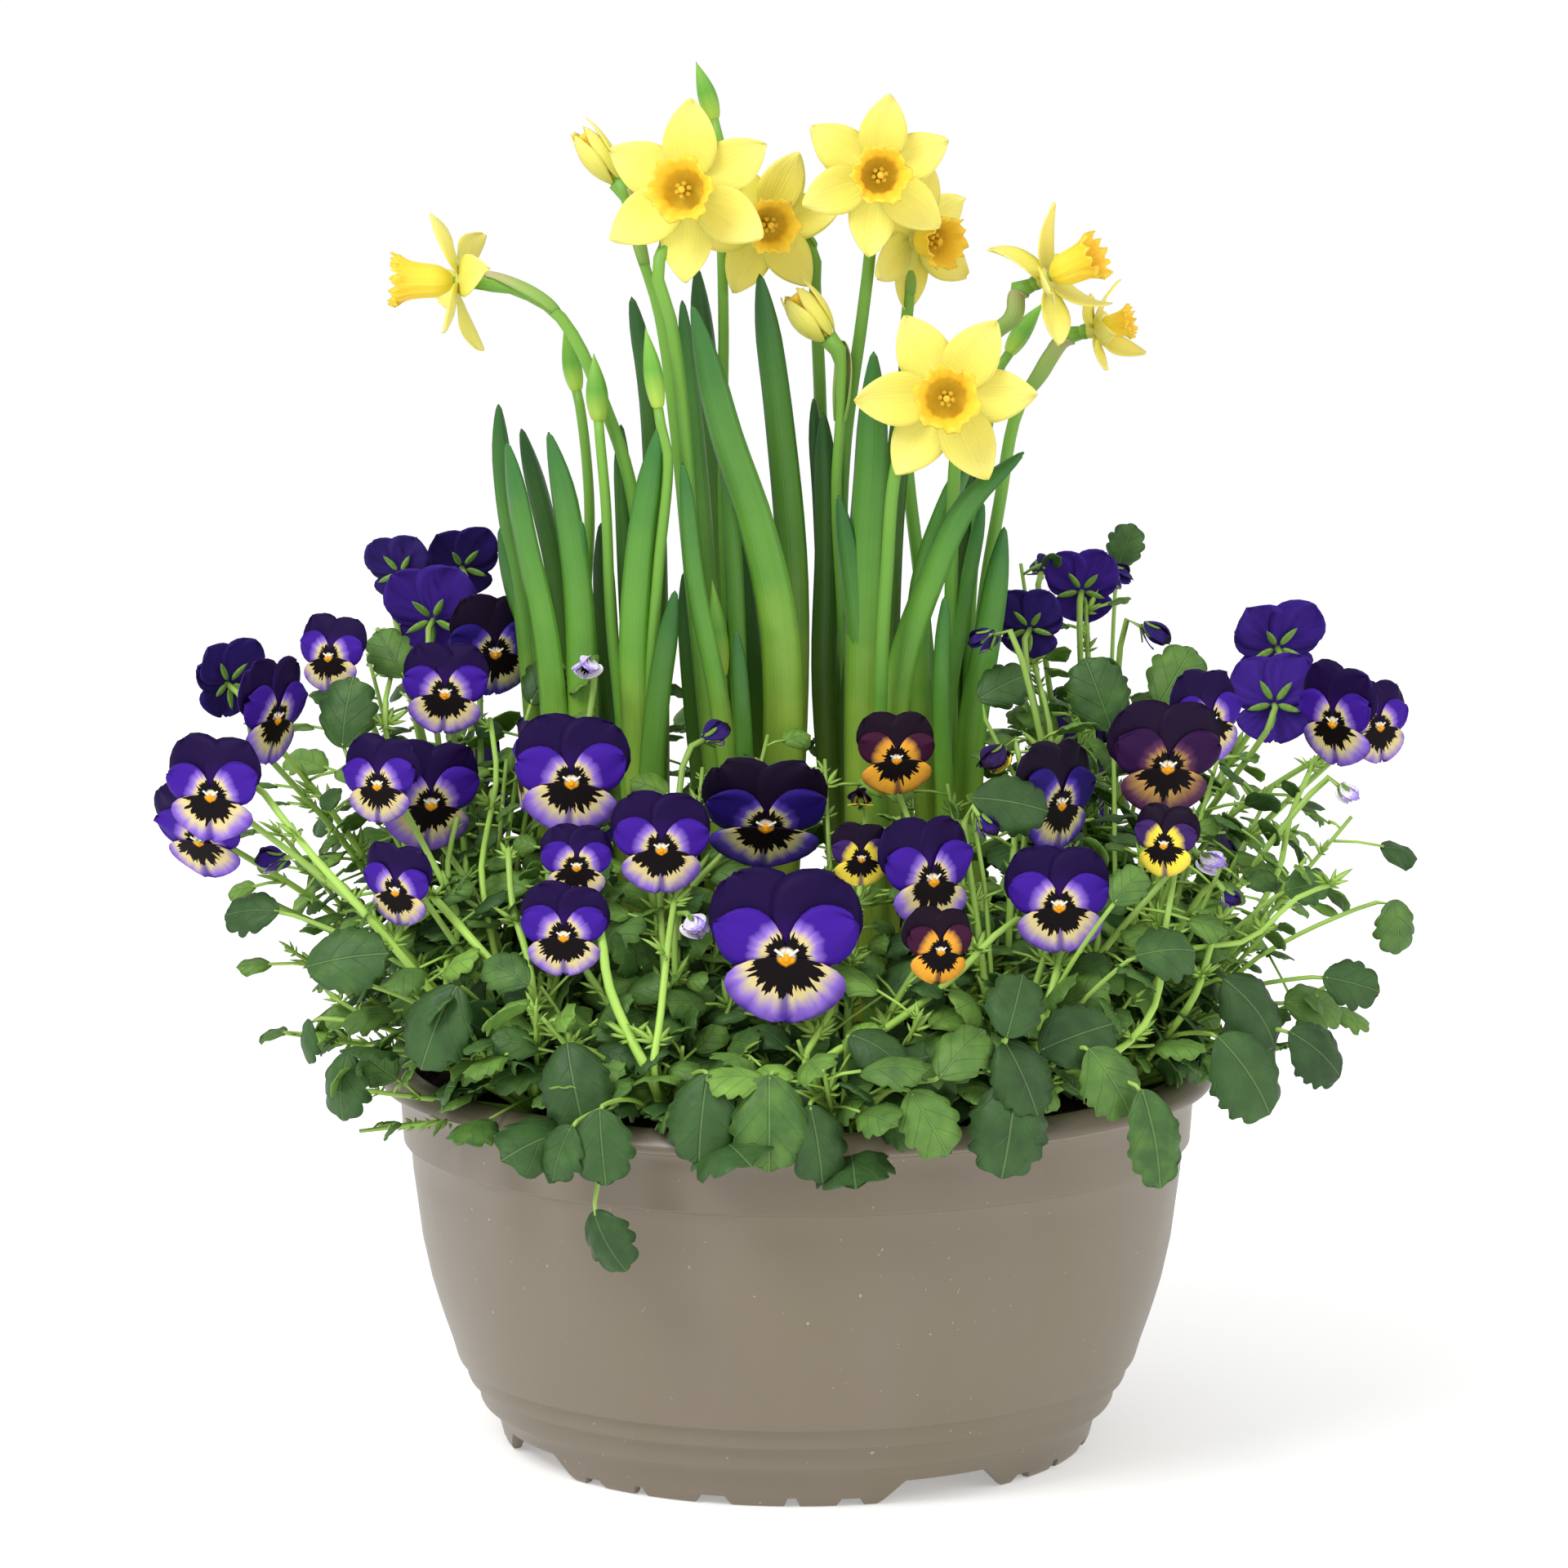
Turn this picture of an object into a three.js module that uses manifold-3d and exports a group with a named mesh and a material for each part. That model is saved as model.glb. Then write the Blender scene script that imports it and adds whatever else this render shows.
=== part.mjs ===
// A spring bowl planter: a moulded plastic bowl filled with soil, nine small-flowered pansy plants
// round its edge and five clumps of dwarf daffodils in the middle. Millimetres, +Z up, origin at the
// centre of the foot ring on the surface that the bowl stands on. The front of the bowl faces -Y.
import * as THREE from "three";
import { mergeVertices } from "three/addons/utils/BufferGeometryUtils.js";
import Module from "manifold-3d";

const wasm = await Module();
wasm.setup();

// Bowl: driving dimensions
const RIM_RADIUS = 140;
const BOWL_HEIGHT = 129.5;
const FOOT_RADIUS = 98.7;
const WALL = 2.2;
const FLOOR_UNDER = 7.8;
const FLOOR_TOP = 10.4;
const FOOT_RING_WIDTH = 3;
const BOWL_SIDES = 30;
const ARCH_HEIGHT = 7.6;
const NOTCH_HEIGHT = 3;
const DRAIN_RADIUS = 5;
const DRAIN_RING = 62;

// Soil
const SOIL_EDGE_RADIUS = 127;
const SOIL_EDGE_HEIGHT = 121;
const SOIL_MOUND = 8;
const SEAT_GAP = 0.3;
const HOLE_DEPTH = 11;

// Plants: sizes that recur
const PETAL_THICK = 0.7;
const LEAF_THICK = 0.8;
const STALK_RADIUS = 1.05;
const PETIOLE_RADIUS = 0.9;
const CROWN_RADIUS = 5;
const CROWN_RISE = 14;
const THROAT_BACK = 0.054;
const CALYX_LONG = 3.4;
const CALYX_FLARE = 1.8;
const CLEAR = 0.3;
const ROOT_SINK = 1.5;
const SCRAP = 1;

// The place from which the planter was seen, for turning a seen spot and its depth into a place
const EYE = { focal: 6645, middle: 960, x: -4.3, y: -1800, z: 468.8, pitch: 7.82 };

const radians = (degrees) => (degrees * Math.PI) / 180;
const vec = (x, y, z) => new THREE.Vector3(x, y, z);
const UP = vec(0, 0, 1);

// The place at depth y that is seen at this spot
function seen([across, down], depth) {
  const pitch = radians(EYE.pitch);
  const ahead = vec(0, Math.cos(pitch), -Math.sin(pitch));
  const above = vec(0, Math.sin(pitch), Math.cos(pitch));
  const ray = ahead
    .addScaledVector(vec(1, 0, 0), (across - EYE.middle) / EYE.focal)
    .addScaledVector(above, (EYE.middle - down) / EYE.focal);
  const far = (depth - EYE.y) / ray.y;
  return vec(EYE.x, EYE.y, EYE.z).addScaledVector(ray, far);
}

// A seeded draw between 0 and 1
function draws(seed) {
  let state = seed;
  return () => {
    state = (state * 48271) % 2147483647;
    return state / 2147483647;
  };
}

const soilHeight = (x, y) => SOIL_EDGE_HEIGHT + SOIL_MOUND * (1 - (x * x + y * y) / SOIL_EDGE_RADIUS ** 2);

// A closed geometry as a solid: shared corners merged, folded-up triangles dropped, faces outward
function solid(geometry) {
  const bare = geometry.clone();
  bare.deleteAttribute("normal");
  bare.deleteAttribute("uv");
  const merged = mergeVertices(bare, 1e-4);
  const spots = merged.attributes.position;
  const corners = [];
  let volume = 0;
  const [a, b, c] = [vec(0, 0, 0), vec(0, 0, 0), vec(0, 0, 0)];
  for (let i = 0; i < merged.index.count; i += 3) {
    const three = [0, 1, 2].map((k) => merged.index.getX(i + k));
    if (new Set(three).size < 3) continue;
    corners.push(three);
    [a, b, c].forEach((corner, k) => corner.fromBufferAttribute(spots, three[k]));
    volume += a.dot(b.cross(c));
  }
  const facing = corners.map(([i, j, k]) => (volume < 0 ? [i, k, j] : [i, j, k]));
  return new wasm.Manifold(
    new wasm.Mesh({
      numProp: 3,
      vertProperties: spots.array,
      triVerts: Uint32Array.from(facing.flat()),
    })
  );
}

function geometryOf(body) {
  const mesh = body.getMesh();
  const geometry = new THREE.BufferGeometry();
  geometry.setAttribute("position", new THREE.BufferAttribute(mesh.vertProperties, 3));
  geometry.setIndex(new THREE.BufferAttribute(mesh.triVerts, 1));
  geometry.computeVertexNormals();
  return geometry;
}

// The one body that a join makes, with sealed hollows filled; a piece left loose stops the build
function join(bodies) {
  const parts = wasm.Manifold.union(bodies).decompose();
  const whole = parts.reduce((most, part) => (part.volume() > most.volume() ? part : most));
  const loose = parts.filter((part) => part !== whole && part.volume() > SCRAP);
  if (loose.length > 0) throw new Error(`loose piece near ${loose[0].boundingBox().min}`);
  return whole;
}

// Axes of something that faces a way: turn to the right of the front, tilt up, lean clockwise
function facing(turn, tilt, lean = 0) {
  const [t, e, l] = [turn, tilt, lean].map(radians);
  const normal = vec(Math.sin(t) * Math.cos(e), -Math.cos(t) * Math.cos(e), Math.sin(e));
  const side = vec(Math.cos(t), Math.sin(t), 0);
  const top = normal.clone().cross(side);
  return {
    normal,
    side: side.clone().multiplyScalar(Math.cos(l)).addScaledVector(top, -Math.sin(l)),
    top: top.clone().multiplyScalar(Math.cos(l)).addScaledVector(side, Math.sin(l)),
  };
}

function placed(geometry, centre, axes) {
  const frame = new THREE.Matrix4().makeBasis(axes.side, axes.top, axes.normal).setPosition(centre);
  return geometry.applyMatrix4(frame);
}

// A thin blade from an outline, bent by a formula that is the same on both of its faces
function blade(outline, thick, bend) {
  const shape = new THREE.Shape(outline.map(([x, y]) => new THREE.Vector2(x, y)));
  const geometry = new THREE.ExtrudeGeometry(shape, { depth: thick, bevelEnabled: false });
  const spots = geometry.attributes.position;
  for (let i = 0; i < spots.count; i += 1) {
    const [x, y] = [spots.getX(i), spots.getY(i)];
    spots.setZ(i, spots.getZ(i) - thick / 2 + bend(x, y));
  }
  return geometry;
}

const mirrored = (half) => [...half, ...half.filter(([x]) => x > 0).reverse().map(([x, y]) => [-x, y])];

// A stem, strap leaf or bud: a cylinder drawn along a curve, with a width and thickness at each of
// its stages between 0 and 1; an end of no width closes to a point
function grown(curve, { sides, stages, wide, thick = wide, across = vec(1, 0, 0) }) {
  const geometry = new THREE.CylinderGeometry(1, 1, 1, sides, stages.length - 1);
  const spots = geometry.attributes.position;
  for (let i = 0; i < spots.count; i += 1) {
    const stage = stages[Math.round((spots.getY(i) + 0.5) * (stages.length - 1))];
    const along = curve.getTangentAt(stage);
    const side = across.clone().addScaledVector(along, -across.dot(along)).normalize();
    const face = side.clone().cross(along);
    const spot = curve
      .getPointAt(stage)
      .addScaledVector(side, (spots.getX(i) * wide(stage)) / 2)
      .addScaledVector(face, (spots.getZ(i) * thick(stage)) / 2);
    spots.setXYZ(i, spot.x, spot.y, spot.z);
  }
  return solid(geometry);
}

const tapered = (from, to) => (stage) => (stage === 0 ? 0 : from + (to - from) * stage);
const curved = (points) => new THREE.CatmullRomCurve3(points, false, "centripetal");

// Bowl: the closed section from the middle of the underside, out, up over the rim and back inside
function bowl() {
  const inner = FOOT_RADIUS - FOOT_RING_WIDTH;
  const outside = [
    [0, FLOOR_UNDER], [inner, FLOOR_UNDER], [inner, 0], [FOOT_RADIUS, 0], [100.9, 7.2],
    [105, 11.6], [106.4, 15], [110.9, 23], [112.9, 26.8], [114, 29.8],
    [119.2, 43], [123.5, 57], [127.4, 77], [130, 101.5],
    [132.4, 103], [133.6, 120], [RIM_RADIUS, 123], [138.6, 127], [133.8, BOWL_HEIGHT],
    [129.2, 128.6],
  ];
  const inside = [
    [130 - WALL, 101.5], [123.5 - WALL, 58.5], [112.4 - WALL, 28], [101.5, 13],
    [97, FLOOR_TOP], [0, FLOOR_TOP],
  ];
  const section = [...outside, ...inside].map(([r, z]) => new THREE.Vector2(r, z));
  const turned = solid(new THREE.LatheGeometry(section, BOWL_SIDES).rotateX(Math.PI / 2));
  return turned.subtract(wasm.Manifold.union([...footCuts(), ...drainHoles()]));
}

// A cut through the foot ring: an outline across and up, pushed out from the axis at an azimuth
function footCut(azimuth, outline) {
  const shape = new THREE.Shape(outline.map(([x, z]) => new THREE.Vector2(x, z)));
  const geometry = new THREE.ExtrudeGeometry(shape, { depth: 16, bevelEnabled: false });
  geometry.rotateX(Math.PI / 2).translate(0, -FOOT_RADIUS + 8, 0).rotateZ(radians(azimuth));
  return solid(geometry);
}

// Four tall arches, and in each stretch between them one middle, two small and two shallow notches
function footCuts() {
  const arch = [[-24, -1], [24, -1], [15.5, ARCH_HEIGHT], [-15.5, ARCH_HEIGHT]];
  const middle = [[-6.6, -1], [6.6, -1], [4.2, NOTCH_HEIGHT], [-4.2, NOTCH_HEIGHT]];
  const small = [[-2.9, -1], [2.9, -1], [1.4, NOTCH_HEIGHT], [-1.4, NOTCH_HEIGHT]];
  const shallow = [[-5, -1], [5, -1], [3, 2.5], [-3, 2.5]];
  const cuts = [];
  for (let quarter = 0; quarter < 4; quarter += 1) {
    const stretch = -16 + 90 * quarter;
    cuts.push(footCut(stretch + 45, arch), footCut(stretch, middle));
    for (const side of [-1, 1]) {
      cuts.push(footCut(stretch + 15 * side, small), footCut(stretch + 26 * side, shallow));
    }
  }
  return cuts;
}

function drainHoles() {
  return [0, 1, 2, 3].map((quarter) => {
    const hole = new THREE.CylinderGeometry(DRAIN_RADIUS, DRAIN_RADIUS, 8, 8).rotateX(Math.PI / 2);
    return solid(hole.translate(DRAIN_RING, 0, FLOOR_TOP).rotateZ(radians(45 + 90 * quarter)));
  });
}

// Soil: fills the bowl to just under its rim, mounded, with a plain hole for each crown
function soil(holes) {
  const section = [
    [0, FLOOR_TOP + SEAT_GAP], [96.6, FLOOR_TOP + SEAT_GAP], [100.9, 13.6], [109.4, 28.6],
    [120.6, 59.2], [127.2, 101.5], [SOIL_EDGE_RADIUS, SOIL_EDGE_HEIGHT],
    [86, soilHeight(86, 0)], [0, soilHeight(0, 0)],
  ].map(([r, z]) => new THREE.Vector2(r, z));
  const mound = solid(new THREE.LatheGeometry(section, BOWL_SIDES / 2).rotateX(Math.PI / 2));
  return mound.subtract(wasm.Manifold.union(holes));
}

// A crown or bulb neck standing in the soil, and the hole that it stands in
function crown([x, y], radius, rise, sides) {
  const ground = soilHeight(x, y);
  const post = (wide, from, to, top) =>
    solid(
      new THREE.CylinderGeometry(top, wide, to - from, sides)
        .rotateX(Math.PI / 2)
        .translate(x, y, (from + to) / 2)
    );
  const foot = ground - HOLE_DEPTH;
  return {
    body: post(radius, foot, ground + rise, radius * 0.85),
    hole: post(radius + SEAT_GAP, foot - SEAT_GAP, ground + rise, radius + SEAT_GAP),
  };
}

// Pansy crowns: nine plants round the edge of the bowl
const PANSY_CROWNS = [
  { name: "front_left", at: [-84, -76] },
  { name: "front_middle_left", at: [-40, -102] },
  { name: "front_middle", at: [14, -110] },
  { name: "front_right", at: [66, -90] },
  { name: "right_front", at: [106, -38] },
  { name: "right_back", at: [104, 40] },
  { name: "back_right", at: [44, 100] },
  { name: "back_left", at: [-46, 98] },
  { name: "left", at: [-108, 8] },
];

// Pansy blooms. at: where the throat is seen; depth: its y; wide: across the petals; turn and tilt:
// the way the face looks; own: a node of its own; form: folded where the petals are still rolled
const PANSY_BLOOMS = [
  { at: [258, 975], depth: -72, wide: 34, turn: -18, tilt: -4, tone: "violet", own: true },
  { at: [243, 1030], depth: -48, wide: 34, turn: -28, tilt: -30, tone: "violet" },
  { at: [276, 835], depth: -12, wide: 27, turn: -140, tilt: 5, tone: "dark" },
  { at: [340, 880], depth: -34, wide: 36, turn: 62, tilt: -14, tone: "violet", own: true },
  { at: [402, 805], depth: -14, wide: 26, turn: -28, tilt: 4, tone: "violet", own: true },
  { at: [492, 700], depth: 38, wide: 24, turn: 165, tilt: 10, tone: "dark" },
  { at: [565, 693], depth: 52, wide: 26, turn: -165, tilt: 10, tone: "dark" },
  { at: [532, 756], depth: 24, wide: 34, turn: 170, tilt: 8, tone: "violet" },
  { at: [607, 800], depth: 8, wide: 34, turn: 24, tilt: -12, tone: "dark", own: true },
  { at: [545, 850], depth: -18, wide: 30, turn: -4, tilt: 0, tone: "violet", own: true },
  { at: [462, 962], depth: -66, wide: 28, turn: -24, tilt: -2, tone: "violet", own: true },
  { at: [528, 985], depth: -50, wide: 36, turn: 22, tilt: -12, tone: "violet", own: true },
  { at: [484, 1092], depth: -90, wide: 27, turn: -32, tilt: -14, tone: "violet", own: true },
  { at: [700, 958], depth: -70, wide: 38, turn: 2, tilt: 0, tone: "violet", own: true },
  { at: [636, 945], depth: -48, wide: 30, turn: -78, tilt: -8, tone: "violet" },
  { at: [722, 808], depth: -34, wide: 17, turn: -15, tilt: -30, tone: "white", form: "folded" },
  { at: [706, 1062], depth: -100, wide: 24, turn: 4, tilt: 8, tone: "violet", own: true },
  { at: [690, 1147], depth: -116, wide: 29, turn: -4, tilt: -6, tone: "violet", own: true },
  { at: [810, 1040], depth: -98, wide: 32, turn: 6, tilt: 2, tone: "violet", own: true },
  { at: [845, 1125], depth: -104, wide: 17, turn: 35, tilt: -30, tone: "white", form: "folded" },
  { at: [963, 1172], depth: -128, wide: 49, turn: 0, tilt: -2, tone: "violet", own: true },
  { at: [938, 1012], depth: -72, wide: 42, turn: 2, tilt: -34, tone: "dark", own: true },
  { at: [862, 905], depth: -50, wide: 18, turn: 130, tilt: 10, tone: "dark", form: "folded" },
  { at: [1055, 1052], depth: -104, wide: 20, turn: 10, tilt: 0, tone: "golden", own: true },
  { at: [1055, 982], depth: -70, wide: 14, turn: -10, tilt: 20, tone: "golden", form: "folded" },
  { at: [1098, 930], depth: -62, wide: 27, turn: 10, tilt: -8, tone: "amber", own: true },
  { at: [1143, 1078], depth: -104, wide: 36, turn: 34, tilt: 0, tone: "violet", own: true },
  { at: [1152, 1165], depth: -124, wide: 24, turn: 22, tilt: -6, tone: "amber", own: true },
  { at: [1200, 1000], depth: -90, wide: 15, turn: 80, tilt: -60, tone: "dark", form: "folded" },
  { at: [1228, 915], depth: -58, wide: 20, turn: -60, tilt: -50, tone: "golden", form: "folded" },
  { at: [1300, 985], depth: -64, wide: 36, turn: 46, tilt: -8, tone: "dark", own: true },
  { at: [1297, 1110], depth: -102, wide: 34, turn: -2, tilt: 0, tone: "violet", own: true },
  { at: [1262, 768], depth: 6, wide: 24, turn: 165, tilt: 5, tone: "dark" },
  { at: [1216, 775], depth: -34, wide: 18, turn: -120, tilt: -40, tone: "dark", form: "folded" },
  { at: [1325, 722], depth: 34, wide: 26, turn: 172, tilt: 5, tone: "violet" },
  { at: [1355, 695], depth: 56, wide: 20, turn: 120, tilt: -40, tone: "dark", form: "folded" },
  { at: [1400, 765], depth: 18, wide: 20, turn: 90, tilt: -50, tone: "dark", form: "folded" },
  { at: [1430, 940], depth: -66, wide: 38, turn: 12, tilt: -14, tone: "maroon", own: true },
  { at: [1484, 884], depth: -36, wide: 30, turn: 38, tilt: 0, tone: "violet", own: true },
  { at: [1425, 1035], depth: -96, wide: 23, turn: -28, tilt: 0, tone: "golden", own: true },
  { at: [1472, 1048], depth: -84, wide: 17, turn: 50, tilt: -30, tone: "white", form: "folded" },
  { at: [1500, 1092], depth: -92, wide: 12, turn: 60, tilt: -50, tone: "dark", form: "folded" },
  { at: [1562, 790], depth: 34, wide: 32, turn: -172, tilt: 14, tone: "violet", own: true },
  { at: [1560, 862], depth: 4, wide: 30, turn: 176, tilt: -10, tone: "violet" },
  { at: [1632, 885], depth: -16, wide: 34, turn: -48, tilt: -10, tone: "violet", own: true },
  { at: [1690, 890], depth: 18, wide: 28, turn: 32, tilt: 0, tone: "violet", own: true },
  { at: [1642, 962], depth: -24, wide: 14, turn: 60, tilt: -50, tone: "white", form: "folded" },
  { at: [348, 1050], depth: -44, wide: 20, turn: -120, tilt: -20, tone: "violet", form: "folded" },
  { at: [314, 1108], depth: -34, wide: 18, turn: -90, tilt: -30, tone: "violet", form: "folded" },
  { at: [1275, 700], depth: 60, wide: 18, turn: 170, tilt: 10, tone: "dark", form: "folded" },
];

// Blooms on the far side, spread round the back of the bowl and looking outwards; every second one
// stands further in and higher
const FAR_BLOOMS = {
  count: 10, from: 18, to: 162, radius: 152, height: 196, wide: 33, inward: 34, upward: 24, seed: 7,
};

// Pansy leaves. at: where the blade's middle is seen; long: the blade's length; lean: where its tip
// points, clockwise from up; turn and tilt: the way its upper face looks
const PANSY_LEAVES = [
  { at: [425, 1175], depth: -98, long: 27, lean: 75, turn: -20, tilt: 25 },
  { at: [425, 872], depth: -30, long: 24, lean: 5, turn: -10, tilt: 10 },
  { at: [420, 1330], depth: -84, long: 22, lean: 185, turn: -30, tilt: 15 },
  { at: [308, 1118], depth: -64, long: 20, lean: 265, turn: -20, tilt: 40 },
  { at: [530, 1255], depth: -112, long: 29, lean: 200, turn: -20, tilt: 20 },
  { at: [700, 1322], depth: -140, long: 28, lean: 165, turn: -10, tilt: 30 },
  { at: [738, 1405], depth: -152, long: 24, lean: 175, turn: -5, tilt: 10 },
  { at: [688, 1412], depth: -150, long: 19, lean: 200, turn: -30, tilt: 10 },
  { at: [745, 1520], depth: -148, long: 21, lean: 150, turn: -30, tilt: 5 },
  { at: [860, 1370], depth: -150, long: 28, lean: 185, turn: -5, tilt: 20 },
  { at: [942, 1372], depth: -156, long: 30, lean: 180, turn: 0, tilt: 20 },
  { at: [1000, 1400], depth: -150, long: 24, lean: 172, turn: 10, tilt: 20 },
  { at: [1138, 1375], depth: -154, long: 23, lean: 150, turn: 5, tilt: 20 },
  { at: [1240, 1378], depth: -150, long: 31, lean: 190, turn: 10, tilt: 20 },
  { at: [1245, 1325], depth: -138, long: 25, lean: 160, turn: 15, tilt: 25 },
  { at: [1178, 1290], depth: -140, long: 22, lean: 35, turn: -10, tilt: 35 },
  { at: [1235, 1245], depth: -130, long: 23, lean: 20, turn: 10, tilt: 30 },
  { at: [1318, 1270], depth: -124, long: 27, lean: 70, turn: 10, tilt: 30 },
  { at: [1360, 1325], depth: -132, long: 25, lean: 150, turn: 20, tilt: 20 },
  { at: [1410, 1395], depth: -134, long: 33, lean: 168, turn: 20, tilt: 5, narrow: true },
  { at: [1430, 1165], depth: -106, long: 23, lean: 85, turn: 20, tilt: 30 },
  { at: [1535, 1315], depth: -100, long: 32, lean: 145, turn: 25, tilt: 15 },
  { at: [1612, 1290], depth: -74, long: 25, lean: 130, turn: 30, tilt: 20 },
  { at: [1545, 1235], depth: -84, long: 30, lean: 140, turn: 30, tilt: 20 },
  { at: [1610, 1230], depth: -56, long: 22, lean: 95, turn: 20, tilt: 40 },
  { at: [1655, 1205], depth: -66, long: 20, lean: 105, turn: 10, tilt: 20 },
  { at: [1710, 1135], depth: -54, long: 18, lean: 175, turn: 20, tilt: 10 },
  { at: [1600, 1085], depth: -50, long: 16, lean: 80, turn: 10, tilt: 20 },
  { at: [375, 1275], depth: -72, long: 15, lean: 190, turn: -60, tilt: 10 },
  { at: [1378, 668], depth: 74, long: 16, lean: 20, turn: 0, tilt: 0 },
  { at: [1440, 828], depth: 2, long: 24, lean: 30, turn: 0, tilt: 20 },
  { at: [1345, 850], depth: -14, long: 26, lean: -20, turn: 0, tilt: 10 },
  { at: [1238, 985], depth: -84, long: 25, lean: 100, turn: 10, tilt: 30 },
  { at: [1382, 1085], depth: -106, long: 15, lean: 40, turn: 0, tilt: 20 },
  { at: [478, 800], depth: -2, long: 19, lean: -30, turn: 0, tilt: 20 },
  { at: [664, 826], depth: -12, long: 18, lean: 30, turn: 0, tilt: 20 },
  { at: [1230, 840], depth: -30, long: 20, lean: 60, turn: 0, tilt: 30 },
  { at: [620, 1190], depth: -112, long: 18, lean: -60, turn: -10, tilt: 35 },
  { at: [1075, 1285], depth: -142, long: 20, lean: 120, turn: 0, tilt: 45 },
];

// Leaves that fill each plant, drawn by seed round its crown
const FILL = { each: 6, from: 5, seed: 11, reach: 46, spread: 30, long: 21, tries: 9 };

// Daffodil clumps: the place of each cluster of bulb necks
const CLUMPS = [
  { name: "left", at: [-74, 2], radius: 10 },
  { name: "middle_left", at: [-45, -14], radius: 9 },
  { name: "middle", at: [-13, -4], radius: 12 },
  { name: "middle_right", at: [27, -6], radius: 11 },
  { name: "right", at: [58, 4], radius: 10 },
];

// Daffodil flowers. at: where the trumpet meets the petals; stem: spots down the stem; across: tip to
// tip; trumpet: its length
const DAFFODILS = [
  { at: [560, 345], depth: 2, across: 47, turn: -84, tilt: 2, lean: 14, trumpet: 21, clump: 1,
    stem: [[672, 375], [702, 411], [738, 491], [771, 590], [790, 760]] },
  { at: [843, 234], depth: -14, across: 60, turn: -10, tilt: 4, lean: 0, trumpet: 15, clump: 2,
    stem: [[805, 328], [821, 391], [835, 491], [850, 700]] },
  { at: [936, 272], depth: 20, across: 52, turn: 12, tilt: -4, lean: 22, trumpet: 14, clump: 3,
    stem: [[993, 300], [998, 360], [1003, 455], [1012, 700]] },
  { at: [1073, 215], depth: 0, across: 54, turn: 6, tilt: 2, lean: 7, trumpet: 15, clump: 3,
    stem: [[1066, 300], [1056, 388], [1034, 554], [1030, 740]] },
  { at: [1122, 291], depth: 26, across: 50, turn: 42, tilt: -6, lean: 0, trumpet: 15, clump: 4,
    stem: [[1112, 345], [1108, 420], [1110, 560], [1130, 740]] },
  { at: [1283, 340], depth: 0, across: 46, turn: 66, tilt: 24, lean: 10, trumpet: 19, clump: 4,
    stem: [[1240, 385], [1219, 405], [1189, 442], [1172, 537], [1165, 700]] },
  { at: [1343, 403], depth: 22, across: 30, turn: 72, tilt: 14, lean: 20, trumpet: 12, clump: 4,
    closing: 0.8, stem: [[1272, 458], [1245, 505], [1225, 610], [1200, 780]] },
  { at: [1158, 487], depth: -32, across: 60, turn: 0, tilt: 2, lean: 30, trumpet: 15, clump: 3,
    stem: [[1112, 530], [1096, 580], [1086, 700], [1079, 827]] },
];

// Daffodil buds. tip and base: the ends of the bud; stem: spots down its stem; yellow: half open
const BUDS = [
  { tip: [702, 150], base: [755, 222], depth: 4, wide: 10, yellow: true, clump: 2,
    stem: [[778, 290], [806, 380], [826, 520], [846, 720]] },
  { tip: [962, 348], base: [1014, 414], depth: 8, wide: 12, yellow: true, clump: 3,
    stem: [[1030, 488], [1024, 600], [1032, 760]] },
  { tip: [852, 75], base: [874, 146], depth: 12, wide: 7, clump: 2,
    stem: [[882, 240], [886, 400], [884, 640]] },
  { tip: [690, 404], base: [706, 478], depth: 14, wide: 7, clump: 0,
    stem: [[718, 560], [722, 640], [716, 760]] },
  { tip: [727, 432], base: [733, 515], depth: -6, wide: 8, clump: 1,
    stem: [[742, 620], [748, 760], [760, 880]] },
  { tip: [790, 400], base: [806, 500], depth: -18, wide: 7, clump: 1,
    stem: [[818, 560], [806, 700], [796, 860]] },
  { tip: [872, 708], base: [884, 830], depth: -24, wide: 7, clump: 2, stem: [[890, 880]] },
  { tip: [1278, 370], base: [1236, 432], depth: 14, wide: 7, clump: 4,
    stem: [[1210, 520], [1196, 640], [1186, 800]] },
];

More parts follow.
